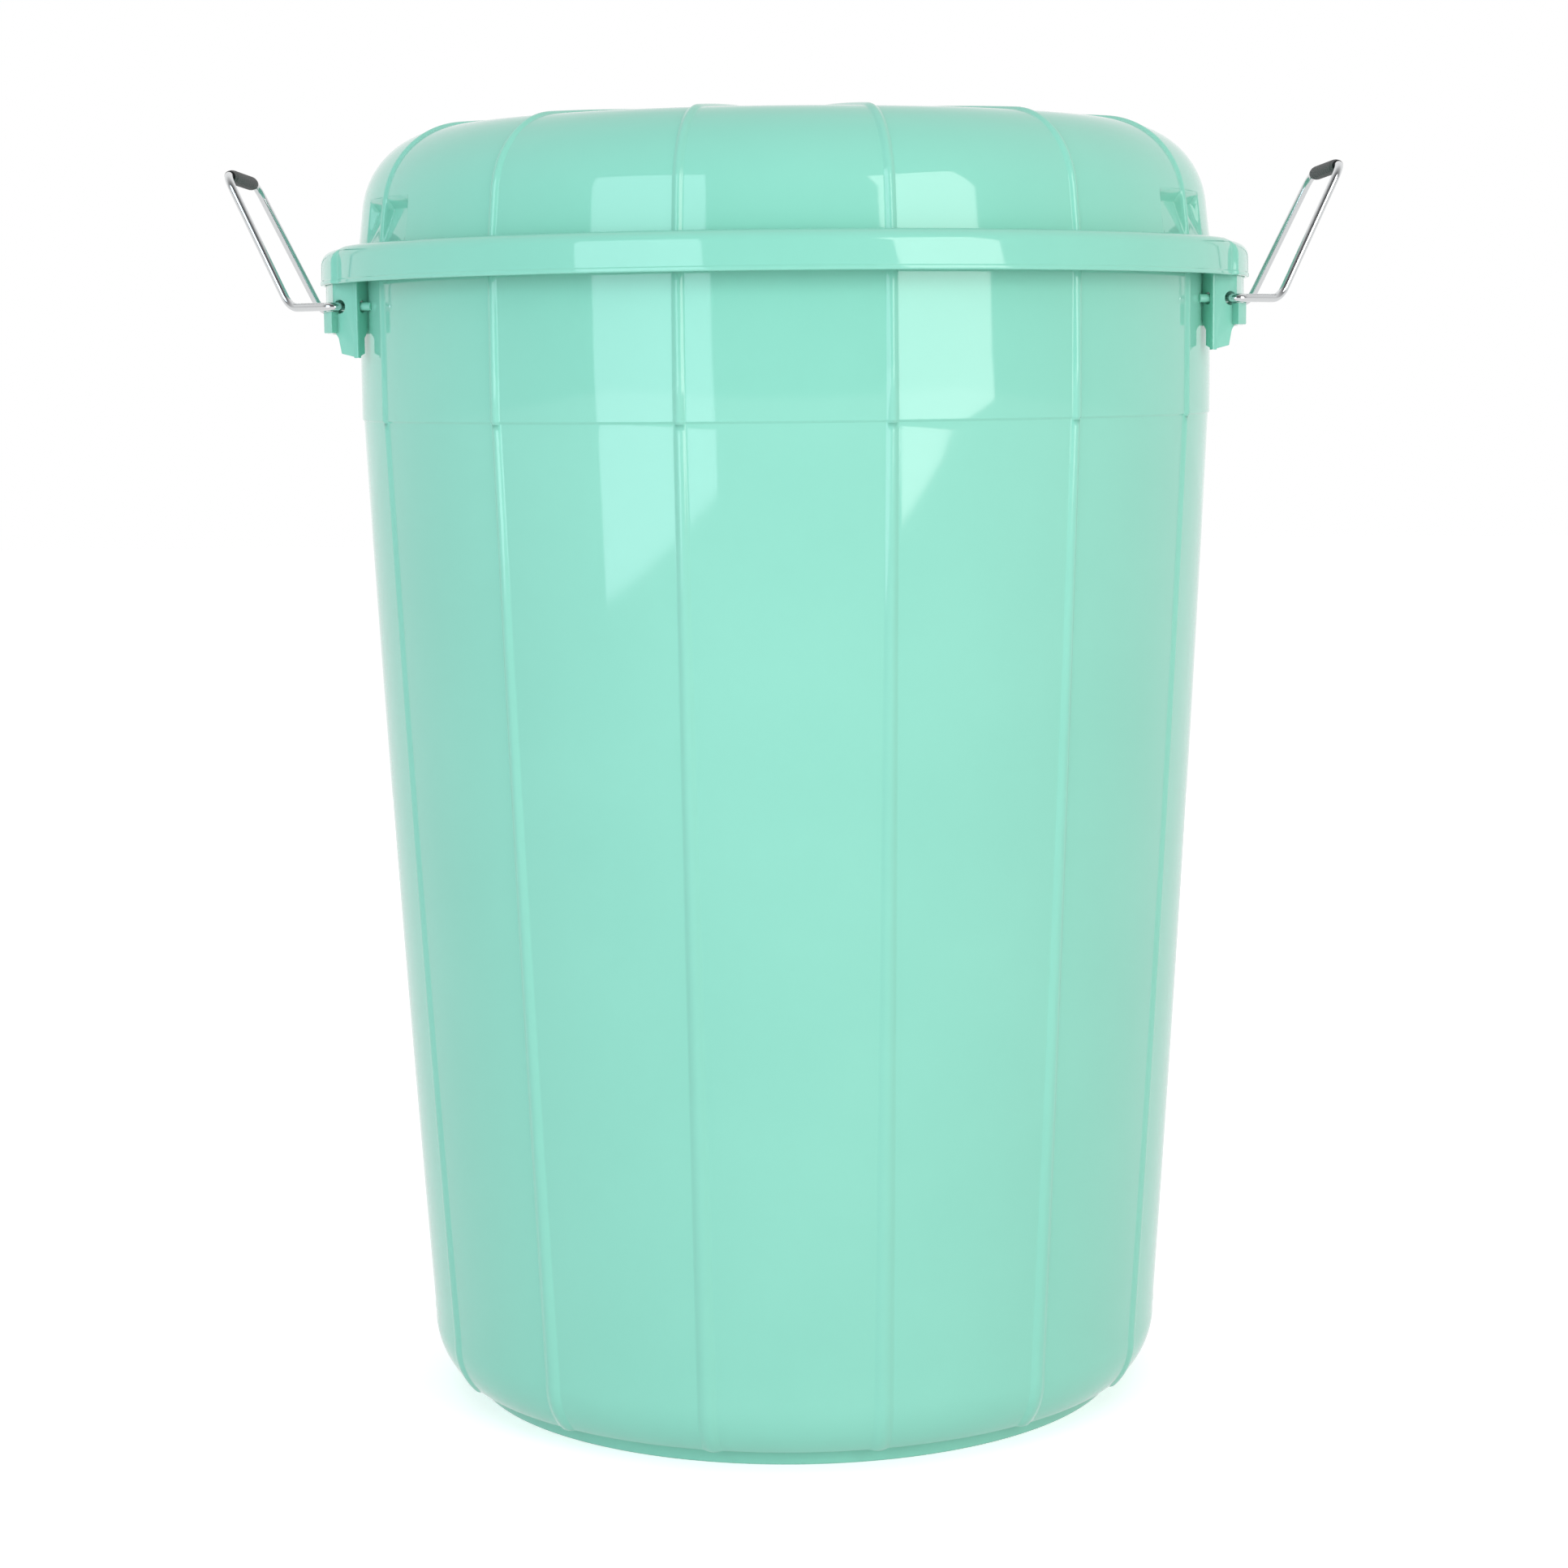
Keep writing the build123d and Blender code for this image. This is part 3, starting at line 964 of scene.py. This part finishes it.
@dataclass
class LidFlange:
    """The lid's flange and skirt, with a bulge over each handle bracket."""

    radius: float = 228.0
    top: float = 576.2
    bottom: float = 558.2
    rounding: float = 8.0
    bulge: float = 2.8
    bulge_half: float = 20.0
    bulge_drop: float = 1.2
    skirt_wall: float = 2.0
    bulge_wall: float = 1.6
    bead: float = 0.35
    bead_height: float = 1.8
    dome_radius: float = 212.0
    seat_height: float = 571.8
    spigot_outer: float = 208.5
    spigot_wall: float = 2.0
    spigot_bottom: float = 560.5
    column_spacing: float = 1.5
    bulge_columns: tuple[float, ...] = (19.2, 19.5, 19.7, 19.9, 20.1, 20.3, 20.5, 20.8)
    bulge_end: float = 21.5

    def outline(self, swell: float) -> list[Point]:
        """Return the closed section's points, from the dome's foot round to the spigot.

        Args:
            swell: 0 away from the bulges and 1 on them.

        Returns:
            The section as radius and height.
        """
        radius = self.radius + self.bulge * swell
        top = self.top - self.bulge_drop * swell
        wall = self.skirt_wall + (self.bulge_wall - self.skirt_wall) * swell
        inner_top = self.top - self.skirt_wall - self.bulge_drop * swell
        return rounded([
            (self.dome_radius - 2.6, self.top, 0),
            (self.dome_radius + 4.5, self.top, 0.5),
            (self.dome_radius + 5.0, top, 0.5),
            (radius, top, self.rounding),
            (radius, self.bottom + self.bead_height + 0.5, 0.6),
            (radius + self.bead, self.bottom + self.bead_height, 0.5),
            (radius + self.bead, self.bottom, 0.8),
            (radius - wall, self.bottom, 0.6),
            (radius - wall, inner_top, self.rounding - 2),
            (self.radius - self.rounding, inner_top, 0.3),
            (self.radius - self.rounding - 0.2, self.seat_height, 0.4),
            (self.spigot_outer, self.seat_height, 0.5),
            (self.spigot_outer, self.spigot_bottom, 0.7),
            (self.spigot_outer - self.spigot_wall, self.spigot_bottom, 0.7),
            (self.spigot_outer - self.spigot_wall, self.top - self.skirt_wall, 0),
        ], 5)

    def swell(self, angle: float) -> float:
        """Return 1 over a handle bracket and 0 elsewhere for an angle in degrees."""
        from_axis = abs((angle + 90) % 180 - 90)
        return 1 - smooth((from_axis - self.bulge_half + STEP_WIDTH / 2) / STEP_WIDTH)

    def angles(self) -> list[float]:
        """List the columns' angles in degrees, denser where a bulge begins and ends.

        Returns:
            Angles of a whole turn, in order.
        """
        quarter = [self.column_spacing * step for step in range(13)] + list(self.bulge_columns)
        quarter += [self.bulge_end + self.column_spacing * step for step in range(46)]
        half = quarter + [180 - angle for angle in quarter if angle > 0]
        whole = set(half + [angle + 180 for angle in half])
        return sorted(angle for angle in whole if 0 <= angle < 360)

    def build(self, material: bpy.types.Material) -> bpy.types.Object:
        """Build the flange as one closed ring.

        Args:
            material: Finish of the lid.

        Returns:
            The flange as one object.
        """
        columns = [
            [
                ring_point(radius, math.radians(angle), height)
                for radius, height in self.outline(self.swell(angle))
            ]
            for angle in self.angles()
        ]
        rows = [list(row) for row in zip(*columns)]
        rows.append(rows[0])
        mesh = merged("lid_flange", [grid_mesh("lid_flange", rows, True)])
        return place("lid_flange", mesh, material)


# Wire handles


@dataclass
class WireHandle:
    """A bail of plated wire: two hooked eyes, two runs, two legs and a crossbar."""

    diameter: float = 4.0
    tail: float = 8.0
    stand_off: float = 5.6
    pivot_height: float = 547.4
    elbow_x: float = 241.0
    elbow_y: float = 54.02
    leg_angle: float = 64.7
    leg_length: float = 71.3
    bar_half: float = 45.42
    eye_bend: float = 4.0
    elbow_bend: float = 9.0
    corner_bend: float = 9.0
    hole: Point = (214.752, -70.869)
    facing: Point = (0.4852, -0.8744)
    plate_wall: float = 2.6
    sides: int = 28
    bend_steps: int = 12
    end_rings: tuple[Point, ...] = ((0.0, 0.01), (0.0, 0.7), (0.12, 0.92), (0.5, 1.0))

    def corners(self) -> list[Vector]:
        """List the wire's corner points for the right-hand handle, near end first.

        Returns:
            The eight corners.
        """
        face = Vector((*self.hole, self.pivot_height))
        out = Vector((*self.facing, 0.0))
        lean = math.radians(self.leg_angle)
        near = [
            face - out * (self.plate_wall + self.tail),
            face + out * self.stand_off,
            Vector((self.elbow_x, -self.elbow_y, self.pivot_height)),
            Vector((
                self.elbow_x + self.leg_length * math.cos(lean),
                -self.bar_half,
                self.pivot_height + self.leg_length * math.sin(lean),
            )),
        ]
        return near + [Vector((point.x, -point.y, point.z)) for point in reversed(near)]

    def path(self) -> list[Vector]:
        """Run the wire's centre line with every corner bent to its radius.

        Returns:
            Points along the line.
        """
        corners = self.corners()
        bends = [self.eye_bend, self.elbow_bend, self.corner_bend]
        radii = [0.0] + bends + bends[::-1] + [0.0]
        line = [corners[0]]
        for index in range(1, len(corners) - 1):
            here = corners[index]
            before = (corners[index - 1] - here).normalized()
            after = (corners[index + 1] - here).normalized()
            half = before.angle(after) / 2
            reach = radii[index] / math.tan(half)
            centre = here + (before + after).normalized() * (radii[index] / math.sin(half))
            first = here + before * reach - centre
            last = here + after * reach - centre
            for step in range(self.bend_steps + 1):
                spoke = first.normalized().slerp(last.normalized(), step / self.bend_steps)
                line.append(centre + spoke * radii[index])
        line.append(corners[-1])
        return line

    def build(self, side: Side, material: bpy.types.Material) -> bpy.types.Object:
        """Sweep the wire round its centre line.

        Args:
            side: Which handle to build.
            material: Finish of the wire.

        Returns:
            The handle as one object.
        """
        line = self.path()
        radius = self.diameter / 2
        rows: Grid = []
        frame = Vector((0, 0, 1))
        for index, point in enumerate(line):
            before = line[max(0, index - 1)]
            after = line[min(len(line) - 1, index + 1)]
            along = (after - before).normalized()
            frame = (frame - along * frame.dot(along)).normalized()
            across = along.cross(frame)
            rings = [(0.0, radius)]
            if index in (0, len(line) - 1):
                sign = 1 if index else -1
                rings = [(-sign * inset, radius * share) for inset, share in self.end_rings]
                rings = rings[::-sign]
            for shift, size in rings:
                centre = point + along * shift
                rows.append([
                    centre + (frame * math.cos(spin) + across * math.sin(spin)) * size
                    for spin in (math.tau * number / self.sides for number in range(self.sides))
                ])
        swept = merged(f"{side.word}_wire", [grid_mesh("wire", rows, True)], closed=False)
        mesh = side.turned(swept)
        recalculated(mesh)
        return place(f"{side.word}_wire", mesh, material)


def recalculated(mesh: bpy.types.Mesh) -> None:
    """Close small end holes of a swept mesh and turn its faces outwards.

    Args:
        mesh: Mesh that is changed in place.
    """
    work = bmesh.new()
    work.from_mesh(mesh)
    open_edges = [edge for edge in work.edges if edge.is_boundary]
    if open_edges:
        bmesh.ops.holes_fill(work, edges=open_edges, sides=64)
    bmesh.ops.recalc_face_normals(work, faces=work.faces)
    for face in work.faces:
        face.smooth = True
    work.to_mesh(mesh)
    work.free()


@dataclass
class GripSleeve:
    """The moulded sleeve on a handle's crossbar, a barrel with tapered knurled ends."""

    length: float = 70.0
    diameter: float = 6.9
    end_diameter: float = 5.6
    taper: float = 9.0
    bore: float = 2.1
    knurl: float = 0.14
    knurl_pitch: float = 1.1
    centre_x: float = 271.471
    centre_z: float = 611.862
    bore_break: float = 0.3
    end_break: float = 0.5
    end_inset: float = 0.4
    sides: int = 72
    steps: int = 240

    def radius_at(self, along: float) -> float:
        """Return the sleeve's radius at a distance from its middle.

        Args:
            along: Distance in millimetres.

        Returns:
            The radius without the knurl.
        """
        half = self.length / 2
        share = smooth((half - abs(along)) / self.taper) ** 0.6
        end = self.end_diameter / 2
        return end + (self.diameter / 2 - end) * share

    def build(self, side: Side, material: bpy.types.Material) -> bpy.types.Object:
        """Build the sleeve with its knurl and bore.

        Args:
            side: Which handle the sleeve sits on.
            material: Finish of the sleeve.

        Returns:
            The sleeve as one object.
        """
        half = self.length / 2
        mouth = self.bore + self.bore_break
        rim = self.radius_at(half) - self.end_break
        sections = [
            (self.bore, -half + self.bore_break, 0.0), (mouth, -half, 0.0), (rim, -half, 0.0),
        ]
        for step in range(self.steps + 1):
            share = (self.length - 2 * self.end_inset) * step / self.steps
            along = -half + self.end_inset + share
            sections.append((self.radius_at(along), along, 1.0))
        sections += [
            (rim, half, 0.0), (mouth, half, 0.0),
            (self.bore, half - self.bore_break, 0.0), (self.bore, -half + self.bore_break, 0.0),
        ]
        rows: Grid = []
        turns = round(math.tau * self.diameter / 2 / self.knurl_pitch)
        for radius, along, knurled in sections:
            row = []
            for number in range(self.sides):
                spin = math.tau * number / self.sides
                wave = math.cos(turns * spin + math.tau * along / self.knurl_pitch)
                wave *= math.cos(turns * spin - math.tau * along / self.knurl_pitch)
                reach = radius - knurled * self.knurl * (0.5 - 0.5 * wave)
                row.append(Vector((
                    self.centre_x + reach * math.cos(spin),
                    along,
                    self.centre_z + reach * math.sin(spin),
                )))
            rows.append(row)
        mesh = merged(f"{side.word}_sleeve", [grid_mesh("sleeve", rows, True)])
        return place(f"{side.word}_sleeve", side.turned(mesh), material)


# Brackets


@dataclass
class HandleBracket:
    """The hollow bracket under the lid's bulge: a curved wall with a V-shaped end on each side."""

    outer: float = 228.6
    wall: float = 2.6
    top: float = 566.0
    bottom: float = 534.8
    drum_radius: float = 212.3
    root_angle: float = 18.5
    ridge: Point = (205.5, -76.0)
    edge_y: float = 69.12
    tongue_bottom: float = 524.9
    tongue_tip: float = 522.8
    tongue_width: float = 10.0
    tongue_inner: float = 6.2
    hole_diameter: float = 6.4
    hole_from_edge: float = 3.6
    pivot_height: float = 547.4
    peg_diameter: float = 4.0
    peg_clearance: float = 0.8
    ledge_gap: float = 0.2
    ledge_reach: float = 5.0
    wire_radius: float = 2.0
    rounding: float = 0.45
    crease: float = 35.0
    hole_sides: int = 40
    peg_sides: int = 32
    arc_steps: int = 40

    @property
    def edge(self) -> Vector:
        """Return the plan point where the outer face meets the bracket's curved wall."""
        return Vector((math.sqrt(self.outer ** 2 - self.edge_y ** 2), -self.edge_y))

    @property
    def root(self) -> Vector:
        """Return the plan point where the inner face meets the drum's wall."""
        turn = math.radians(self.root_angle)
        return ring_point(self.drum_radius, -turn, 0.0).xy

    def plate(
        self,
        start: Vector,
        end: Vector,
        inward: Vector,
        outline: Sequence[Point],
        holes: Sequence[tuple[float, float, float]],
    ) -> bpy.types.Mesh:
        """Build an upright plate with rounded edges.

        Args:
            start: Plan point where distances along the plate begin.
            end: Plan point the plate runs towards.
            inward: Plan direction of the plate's thickness from its outer face.
            outline: Corners as distance along the plate and height.
            holes: Round holes as distance, height and radius.

        Returns:
            The plate's mesh in metres.
        """
        curve = bpy.data.curves.new("plate", "CURVE")
        curve.dimensions = "2D"
        curve.fill_mode = "BOTH"
        curve.extrude = self.wall / 2 - self.rounding
        curve.bevel_depth = self.rounding
        curve.bevel_resolution = 2
        curve.offset = -self.rounding
        curve.resolution_u = 12
        rims = [list(outline)]
        spins = [-math.tau * number / self.hole_sides for number in range(self.hole_sides)]
        for distance, height, radius in holes:
            rims.append([
                (distance + radius * math.cos(spin), height + radius * math.sin(spin))
                for spin in spins
            ])
        for points in rims:
            spline = curve.splines.new("POLY")
            spline.points.add(len(points) - 1)
            spline.use_cyclic_u = True
            for slot, (across, height) in zip(spline.points, points):
                slot.co = (across, height, 0, 1)
        holder = bpy.data.objects.new("plate", curve)
        bpy.context.scene.collection.objects.link(holder)
        bpy.context.view_layer.update()
        seen = holder.evaluated_get(bpy.context.evaluated_depsgraph_get())
        mesh = bpy.data.meshes.new_from_object(seen)
        bpy.data.objects.remove(holder)
        bpy.data.curves.remove(curve)
        along = (end - start).normalized()
        middle = start + inward.normalized() * (self.wall / 2)
        frame = Matrix((
            (along.x, 0, inward.normalized().x, middle.x),
            (along.y, 0, inward.normalized().y, middle.y),
            (0, 1, 0, 0),
            (0, 0, 0, 1),
        ))
        mesh.transform(Matrix.Scale(MM, 4) @ frame)
        return mesh

    def end_plates(self) -> list[bpy.types.Mesh]:
        """Build the two faces of the bracket's near end.

        Returns:
            The outer face with the wire's hole and the inner face with the peg's.
        """
        ridge, edge, root = Vector(self.ridge), self.edge, self.root
        along = (edge - ridge).normalized()
        outward = Vector((along.y, -along.x))
        length = (edge - ridge).length
        outer = self.plate(ridge, edge, -outward, [
            (0, self.tongue_tip), (self.tongue_width, self.tongue_bottom),
            (self.tongue_width + 1.6, self.bottom - 2.5), (self.tongue_width + 3.4, self.bottom),
            (length, self.bottom), (length, self.top), (0, self.top),
        ], [(length - self.hole_from_edge, self.pivot_height, self.hole_diameter / 2)])
        inward = (root - ridge).normalized()
        normal = Vector((-inward.y, inward.x))
        if normal.x < 0:
            normal = -normal
        inner_length = (root - ridge).length
        inner = self.plate(ridge, root, normal, [
            (0, self.tongue_tip), (0, self.top), (inner_length + 1, self.top),
            (inner_length + 1, self.bottom + self.wall),
            (self.tongue_inner, self.bottom - self.wall),
            (self.tongue_inner, self.tongue_bottom),
        ], [(inner_length / 2, self.pivot_height, self.peg_diameter / 2 + self.peg_clearance)])
        return [outer, inner]

    def arc_wall(self) -> bpy.types.Mesh:
        """Build the curved outer wall and the roof as one rounded strip.

        Returns:
            The strip's mesh, with its ends closed.
        """
        half = math.degrees(math.atan2(self.edge_y, self.edge.x))
        section = rounded([
            (self.outer - self.wall, (self.top + self.bottom) / 2, 0),
            (self.outer - self.wall, self.bottom, self.rounding),
            (self.outer, self.bottom, self.rounding),
            (self.outer, self.top, self.rounding),
            (self.drum_radius - 1, self.top, 0.2),
            (self.drum_radius - 1, self.top - self.wall, 0.2),
            (self.outer - self.wall, self.top - self.wall, self.rounding),
            (self.outer - self.wall, (self.top + self.bottom) / 2, 0),
        ], 3)
        rows: Grid = []
        for step in range(self.arc_steps + 1):
            turn = math.radians(-half + 2 * half * step / self.arc_steps)
            rows.append([ring_point(radius, turn, height) for radius, height in section])
        rows = [[sum(rows[0], Vector()) / len(rows[0])] * len(rows[0])] + rows
        rows.append([sum(rows[-1], Vector()) / len(rows[-1])] * len(rows[-1]))
        return grid_mesh("arc_wall", rows)

    def ledge(self) -> bpy.types.Mesh:
        """Build the ledge that the resting wire lies on.

        Returns:
            The ledge's mesh in metres.
        """
        along = (self.edge - Vector(self.ridge)).normalized()
        outward = Vector((along.y, -along.x))
        start = self.edge - along * self.wall
        out = start + outward * self.ledge_reach
        far = out + Vector((0.5, 0.86)) * (2 * self.ledge_reach)
        half = math.atan2(self.edge_y, self.edge.x)
        back_turn = half - math.radians(self.ledge_reach / 2)
        back = Vector((math.cos(back_turn), -math.sin(back_turn))) * (self.outer - self.wall / 2)
        inside = start - outward * (self.wall / 2)
        top = self.pivot_height - self.wire_radius - self.ledge_gap
        work = bmesh.new()
        low = [
            work.verts.new((point.x * MM, point.y * MM, self.bottom * MM))
            for point in (inside, out, far, back)
        ]
        high = [work.verts.new((vert.co.x, vert.co.y, top * MM)) for vert in low]
        work.faces.new(low)
        work.faces.new(high[::-1])
        for index in range(4):
            nxt = (index + 1) % 4
            work.faces.new((low[index], high[index], high[nxt], low[nxt]))
        bmesh.ops.recalc_face_normals(work, faces=work.faces)
        bmesh.ops.bevel(
            work, geom=list(work.edges), offset=0.5 * MM, segments=3, profile=0.5, affect="EDGES"
        )
        mesh = bpy.data.meshes.new("ledge")
        work.to_mesh(mesh)
        work.free()
        return mesh

    def peg(self) -> bpy.types.Mesh:
        """Build the round peg that stands in the inner face's hole.

        Returns:
            The peg's mesh.
        """
        root, ridge = self.root, Vector(self.ridge)
        middle = (root + ridge) / 2
        inward = (root - ridge).normalized()
        out = Vector((inward.y, -inward.x))
        if out.x > 0:
            out = -out
        radius = self.peg_diameter / 2
        reach = 2 * self.wall
        section = rounded([
            (0, reach, 0), (radius, reach, 0.5), (radius, -reach, 0.3), (0, -reach, 0),
        ], 4)
        direction = Vector((out.x, out.y, 0))
        side = Vector((-out.y, out.x, 0))
        up = Vector((0, 0, 1))
        centre = Vector((middle.x, middle.y, self.pivot_height))
        rows: Grid = []
        for size, along in section:
            rows.append([
                centre + direction * along + (side * math.cos(spin) + up * math.sin(spin)) * size
                for spin in (
                    math.tau * number / self.peg_sides for number in range(self.peg_sides)
                )
            ])
        return grid_mesh("peg", rows, True)

    def build(self, side: Side, material: bpy.types.Material) -> bpy.types.Object:
        """Build a whole bracket.

        Args:
            side: Which side of the drum it is on.
            material: Finish of the drum.

        Returns:
            The bracket as one object.
        """
        work = bmesh.new()
        for mesh in self.end_plates() + [self.ledge(), self.peg()]:
            work.from_mesh(mesh)
            mirror = mesh.copy()
            mirror.transform(Matrix.Scale(-1, 4, (0, 1, 0)))
            mirror.flip_normals()
            work.from_mesh(mirror)
            bpy.data.meshes.remove(mirror)
            bpy.data.meshes.remove(mesh)
        wall = self.arc_wall()
        work.from_mesh(wall)
        bpy.data.meshes.remove(wall)
        bmesh.ops.remove_doubles(work, verts=work.verts, dist=FINE_GAP)
        bmesh.ops.recalc_face_normals(work, faces=work.faces)
        for face in work.faces:
            face.smooth = True
        mesh = bpy.data.meshes.new(f"{side.word}_bracket")
        work.to_mesh(mesh)
        work.free()
        mesh.set_sharp_from_angle(angle=math.radians(self.crease))
        return place(f"{side.word}_bracket", side.turned(mesh), material)


# Room, light and camera


@dataclass
class Studio:
    """A plain white sweep with two tall soft boxes and a fill behind, and the camera."""

    distance: float = 1661.4
    eye_height: float = 516.4
    focal_length: float = 75.0
    pitch: float = 7.27
    roll: float = 0.56
    yaw: float = -0.097
    box_distance: float = 2300.0
    ambient: float = 0.56
    front_glow: float = 0.12
    glow_from: float = -0.75
    glow_to: float = 0.35
    floor_reach: float = 8.0
    floor_grey: float = 0.86
    floor_glow: float = 0.55
    floor_sheen: float = 0.95

    def camera(self) -> None:
        """Create the camera at the photograph's viewing angle."""
        data = bpy.data.cameras.new("camera")
        data.lens = self.focal_length
        data.sensor_width = 36.0
        data.clip_end = 50.0
        lens = bpy.data.objects.new("camera", data)
        pitch, roll, yaw = (math.radians(value) for value in (self.pitch, self.roll, self.yaw))
        right = Vector((math.cos(yaw), -math.sin(yaw), 0))
        ahead = Vector((
            math.cos(pitch) * math.sin(yaw), math.cos(pitch) * math.cos(yaw), -math.sin(pitch),
        ))
        above = right.cross(ahead)
        turned_right = right * math.cos(roll) - above * math.sin(roll)
        turned_above = right * math.sin(roll) + above * math.cos(roll)
        matrix = Matrix((turned_right, turned_above, -ahead)).transposed().to_4x4()
        matrix.translation = Vector((0, -self.distance, self.eye_height)) * MM
        lens.matrix_world = matrix
        bpy.context.scene.collection.objects.link(lens)
        bpy.context.scene.camera = lens

    def world(self) -> None:
        """Light the room evenly, and show it white to the camera and in reflections."""
        scene = bpy.context.scene
        scene.world = bpy.data.worlds.new("studio")
        scene.world.use_nodes = True
        tree = scene.world.node_tree
        tree.nodes.clear()
        ray = add_node(tree, "ShaderNodeLightPath")
        seen = add_node(tree, "ShaderNodeMath", {"operation": "MAXIMUM"}, {
            0: ray.outputs["Is Camera Ray"], 1: ray.outputs["Is Transmission Ray"],
        })
        direction = add_node(tree, "ShaderNodeTexCoord")
        parts = add_node(tree, "ShaderNodeSeparateXYZ", None, {0: direction.outputs["Generated"]})
        depth = add_node(tree, "ShaderNodeMapRange", None, {
            "Value": parts.outputs["Y"], "From Min": self.glow_from, "From Max": self.glow_to,
            "To Min": self.front_glow, "To Max": 1.0,
        })
        soft, shine, white = (
            add_node(tree, "ShaderNodeBackground", None, {"Color": WHITE, "Strength": strength})
            for strength in (self.ambient, depth.outputs["Result"], 1.0)
        )
        gloss = add_node(tree, "ShaderNodeMixShader", None, {
            0: ray.outputs["Is Glossy Ray"], 1: soft.outputs[0], 2: shine.outputs[0],
        })
        mix = add_node(tree, "ShaderNodeMixShader", None, {
            0: seen.outputs[0], 1: gloss.outputs[0], 2: white.outputs[0],
        })
        add_node(tree, "ShaderNodeOutputWorld", None, {"Surface": mix.outputs[0]})

    def soft_box(
        self,
        name: str,
        angle: float,
        width: float,
        low: float,
        high: float,
        power: float,
        roll: float,
        tint: str,
    ) -> bpy.types.Object:
        """Hang one soft box that faces the drum.

        Args:
            name: Name of the lamp.
            angle: Degrees from the camera's side of the drum, positive to the right.
            width: Width in millimetres.
            low: Height of its lower edge.
            high: Height of its upper edge.
            power: Watts.
            roll: Degrees the box is turned about the line to the drum.
            tint: Colour of its light.

        Returns:
            The lamp.
        """
        data = bpy.data.lights.new(name, "AREA")
        data.shape = "RECTANGLE"
        data.size = width * MM
        data.size_y = (high - low) * MM
        data.energy = power
        data.color = linear_colour(tint)[:3]
        lamp = bpy.data.objects.new(name, data)
        turn = math.radians(angle)
        lamp.location = Vector((
            self.box_distance * math.sin(turn),
            -self.box_distance * math.cos(turn),
            (low + high) / 2,
        )) * MM
        lamp.matrix_world = (
            Matrix.Translation(lamp.location)
            @ Matrix.Rotation(turn, 4, "Z")
            @ Matrix.Rotation(math.radians(90), 4, "X")
            @ Matrix.Rotation(math.radians(roll), 4, "Z")
        )
        bpy.context.scene.collection.objects.link(lamp)
        return lamp

    def floor(self) -> None:
        """Lay a pale floor that stays white to the camera and keeps the object's shadow."""
        mesh = bpy.data.meshes.new("floor")
        reach = self.floor_reach
        corners = [(-reach, -reach, 0), (reach, -reach, 0), (reach, reach, 0), (-reach, reach, 0)]
        mesh.from_pydata(corners, [], [(0, 1, 2, 3)])
        material = bpy.data.materials.new("white_sweep")
        material.use_nodes = True
        tree = material.node_tree
        tree.nodes.clear()
        cloth = add_node(tree, "ShaderNodeBsdfDiffuse", None, {
            "Color": (self.floor_grey, self.floor_grey, self.floor_grey, 1.0),
        })
        glow, sheen = (
            add_node(tree, "ShaderNodeEmission", None, {"Color": WHITE, "Strength": strength})
            for strength in (self.floor_glow, self.floor_sheen)
        )
        both = add_node(tree, "ShaderNodeAddShader", None, {
            0: cloth.outputs[0], 1: glow.outputs[0],
        })
        ray = add_node(tree, "ShaderNodeLightPath")
        pick = add_node(tree, "ShaderNodeMixShader", None, {
            0: ray.outputs["Is Camera Ray"], 1: cloth.outputs[0], 2: both.outputs[0],
        })
        mirrored = add_node(tree, "ShaderNodeMixShader", None, {
            0: ray.outputs["Is Glossy Ray"], 1: pick.outputs[0], 2: sheen.outputs[0],
        })
        add_node(tree, "ShaderNodeOutputMaterial", None, {"Surface": mirrored.outputs[0]})
        place("floor", mesh, material)

    def build(self) -> None:
        """Set up camera, room, floor and lamps."""
        bpy.context.scene.view_settings.view_transform = "Standard"
        self.camera()
        self.world()
        self.floor()
        self.soft_box("left_soft_box", -34.0, 1250, 118, 1750, 21, 5, "#E2F4FF")
        self.soft_box("right_soft_box", 37.5, 1020, 240, 1750, 21, 12, "#FFFFFF")
        fill = self.soft_box("back_fill", 180.0, 2400, 0, 1300, 18, 0, "#FFFFFF")
        fill.visible_camera = False
        fill.visible_glossy = False


def main() -> None:
    """Build every piece in order and mount it on its body."""
    logging.basicConfig(level=logging.INFO, format="%(name)s: %(message)s")
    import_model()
    Studio().build()
    plastic = MouldedPolypropylene().material()
    lid_plastic = MouldedPolypropylene(name="turquoise_polypropylene_lid").material()
    steel = PlatedSteelWire().material()
    black = GrainedPolyethylene().material()
    mount(DrumShell().build(plastic), "drum", "drum_plastic", "drum_shell")
    mount(LidDome().build(lid_plastic), "lid_body", "lid_plastic", "lid")
    mount(LidFlange().build(lid_plastic), "lid_body", "lid_plastic", "lid")
    for side in Side:
        mount(HandleBracket().build(side, plastic), "drum", "drum_plastic")
        wire, grip = WireHandle().build(side, steel), GripSleeve().build(side, black)
        mount(wire, f"{side.word}_handle", "wire_steel", f"{side.word}_handle_wire")
        mount(grip, f"{side.word}_sleeve", "grip_plastic", f"{side.word}_grip")


if __name__ == "__main__":
    main()
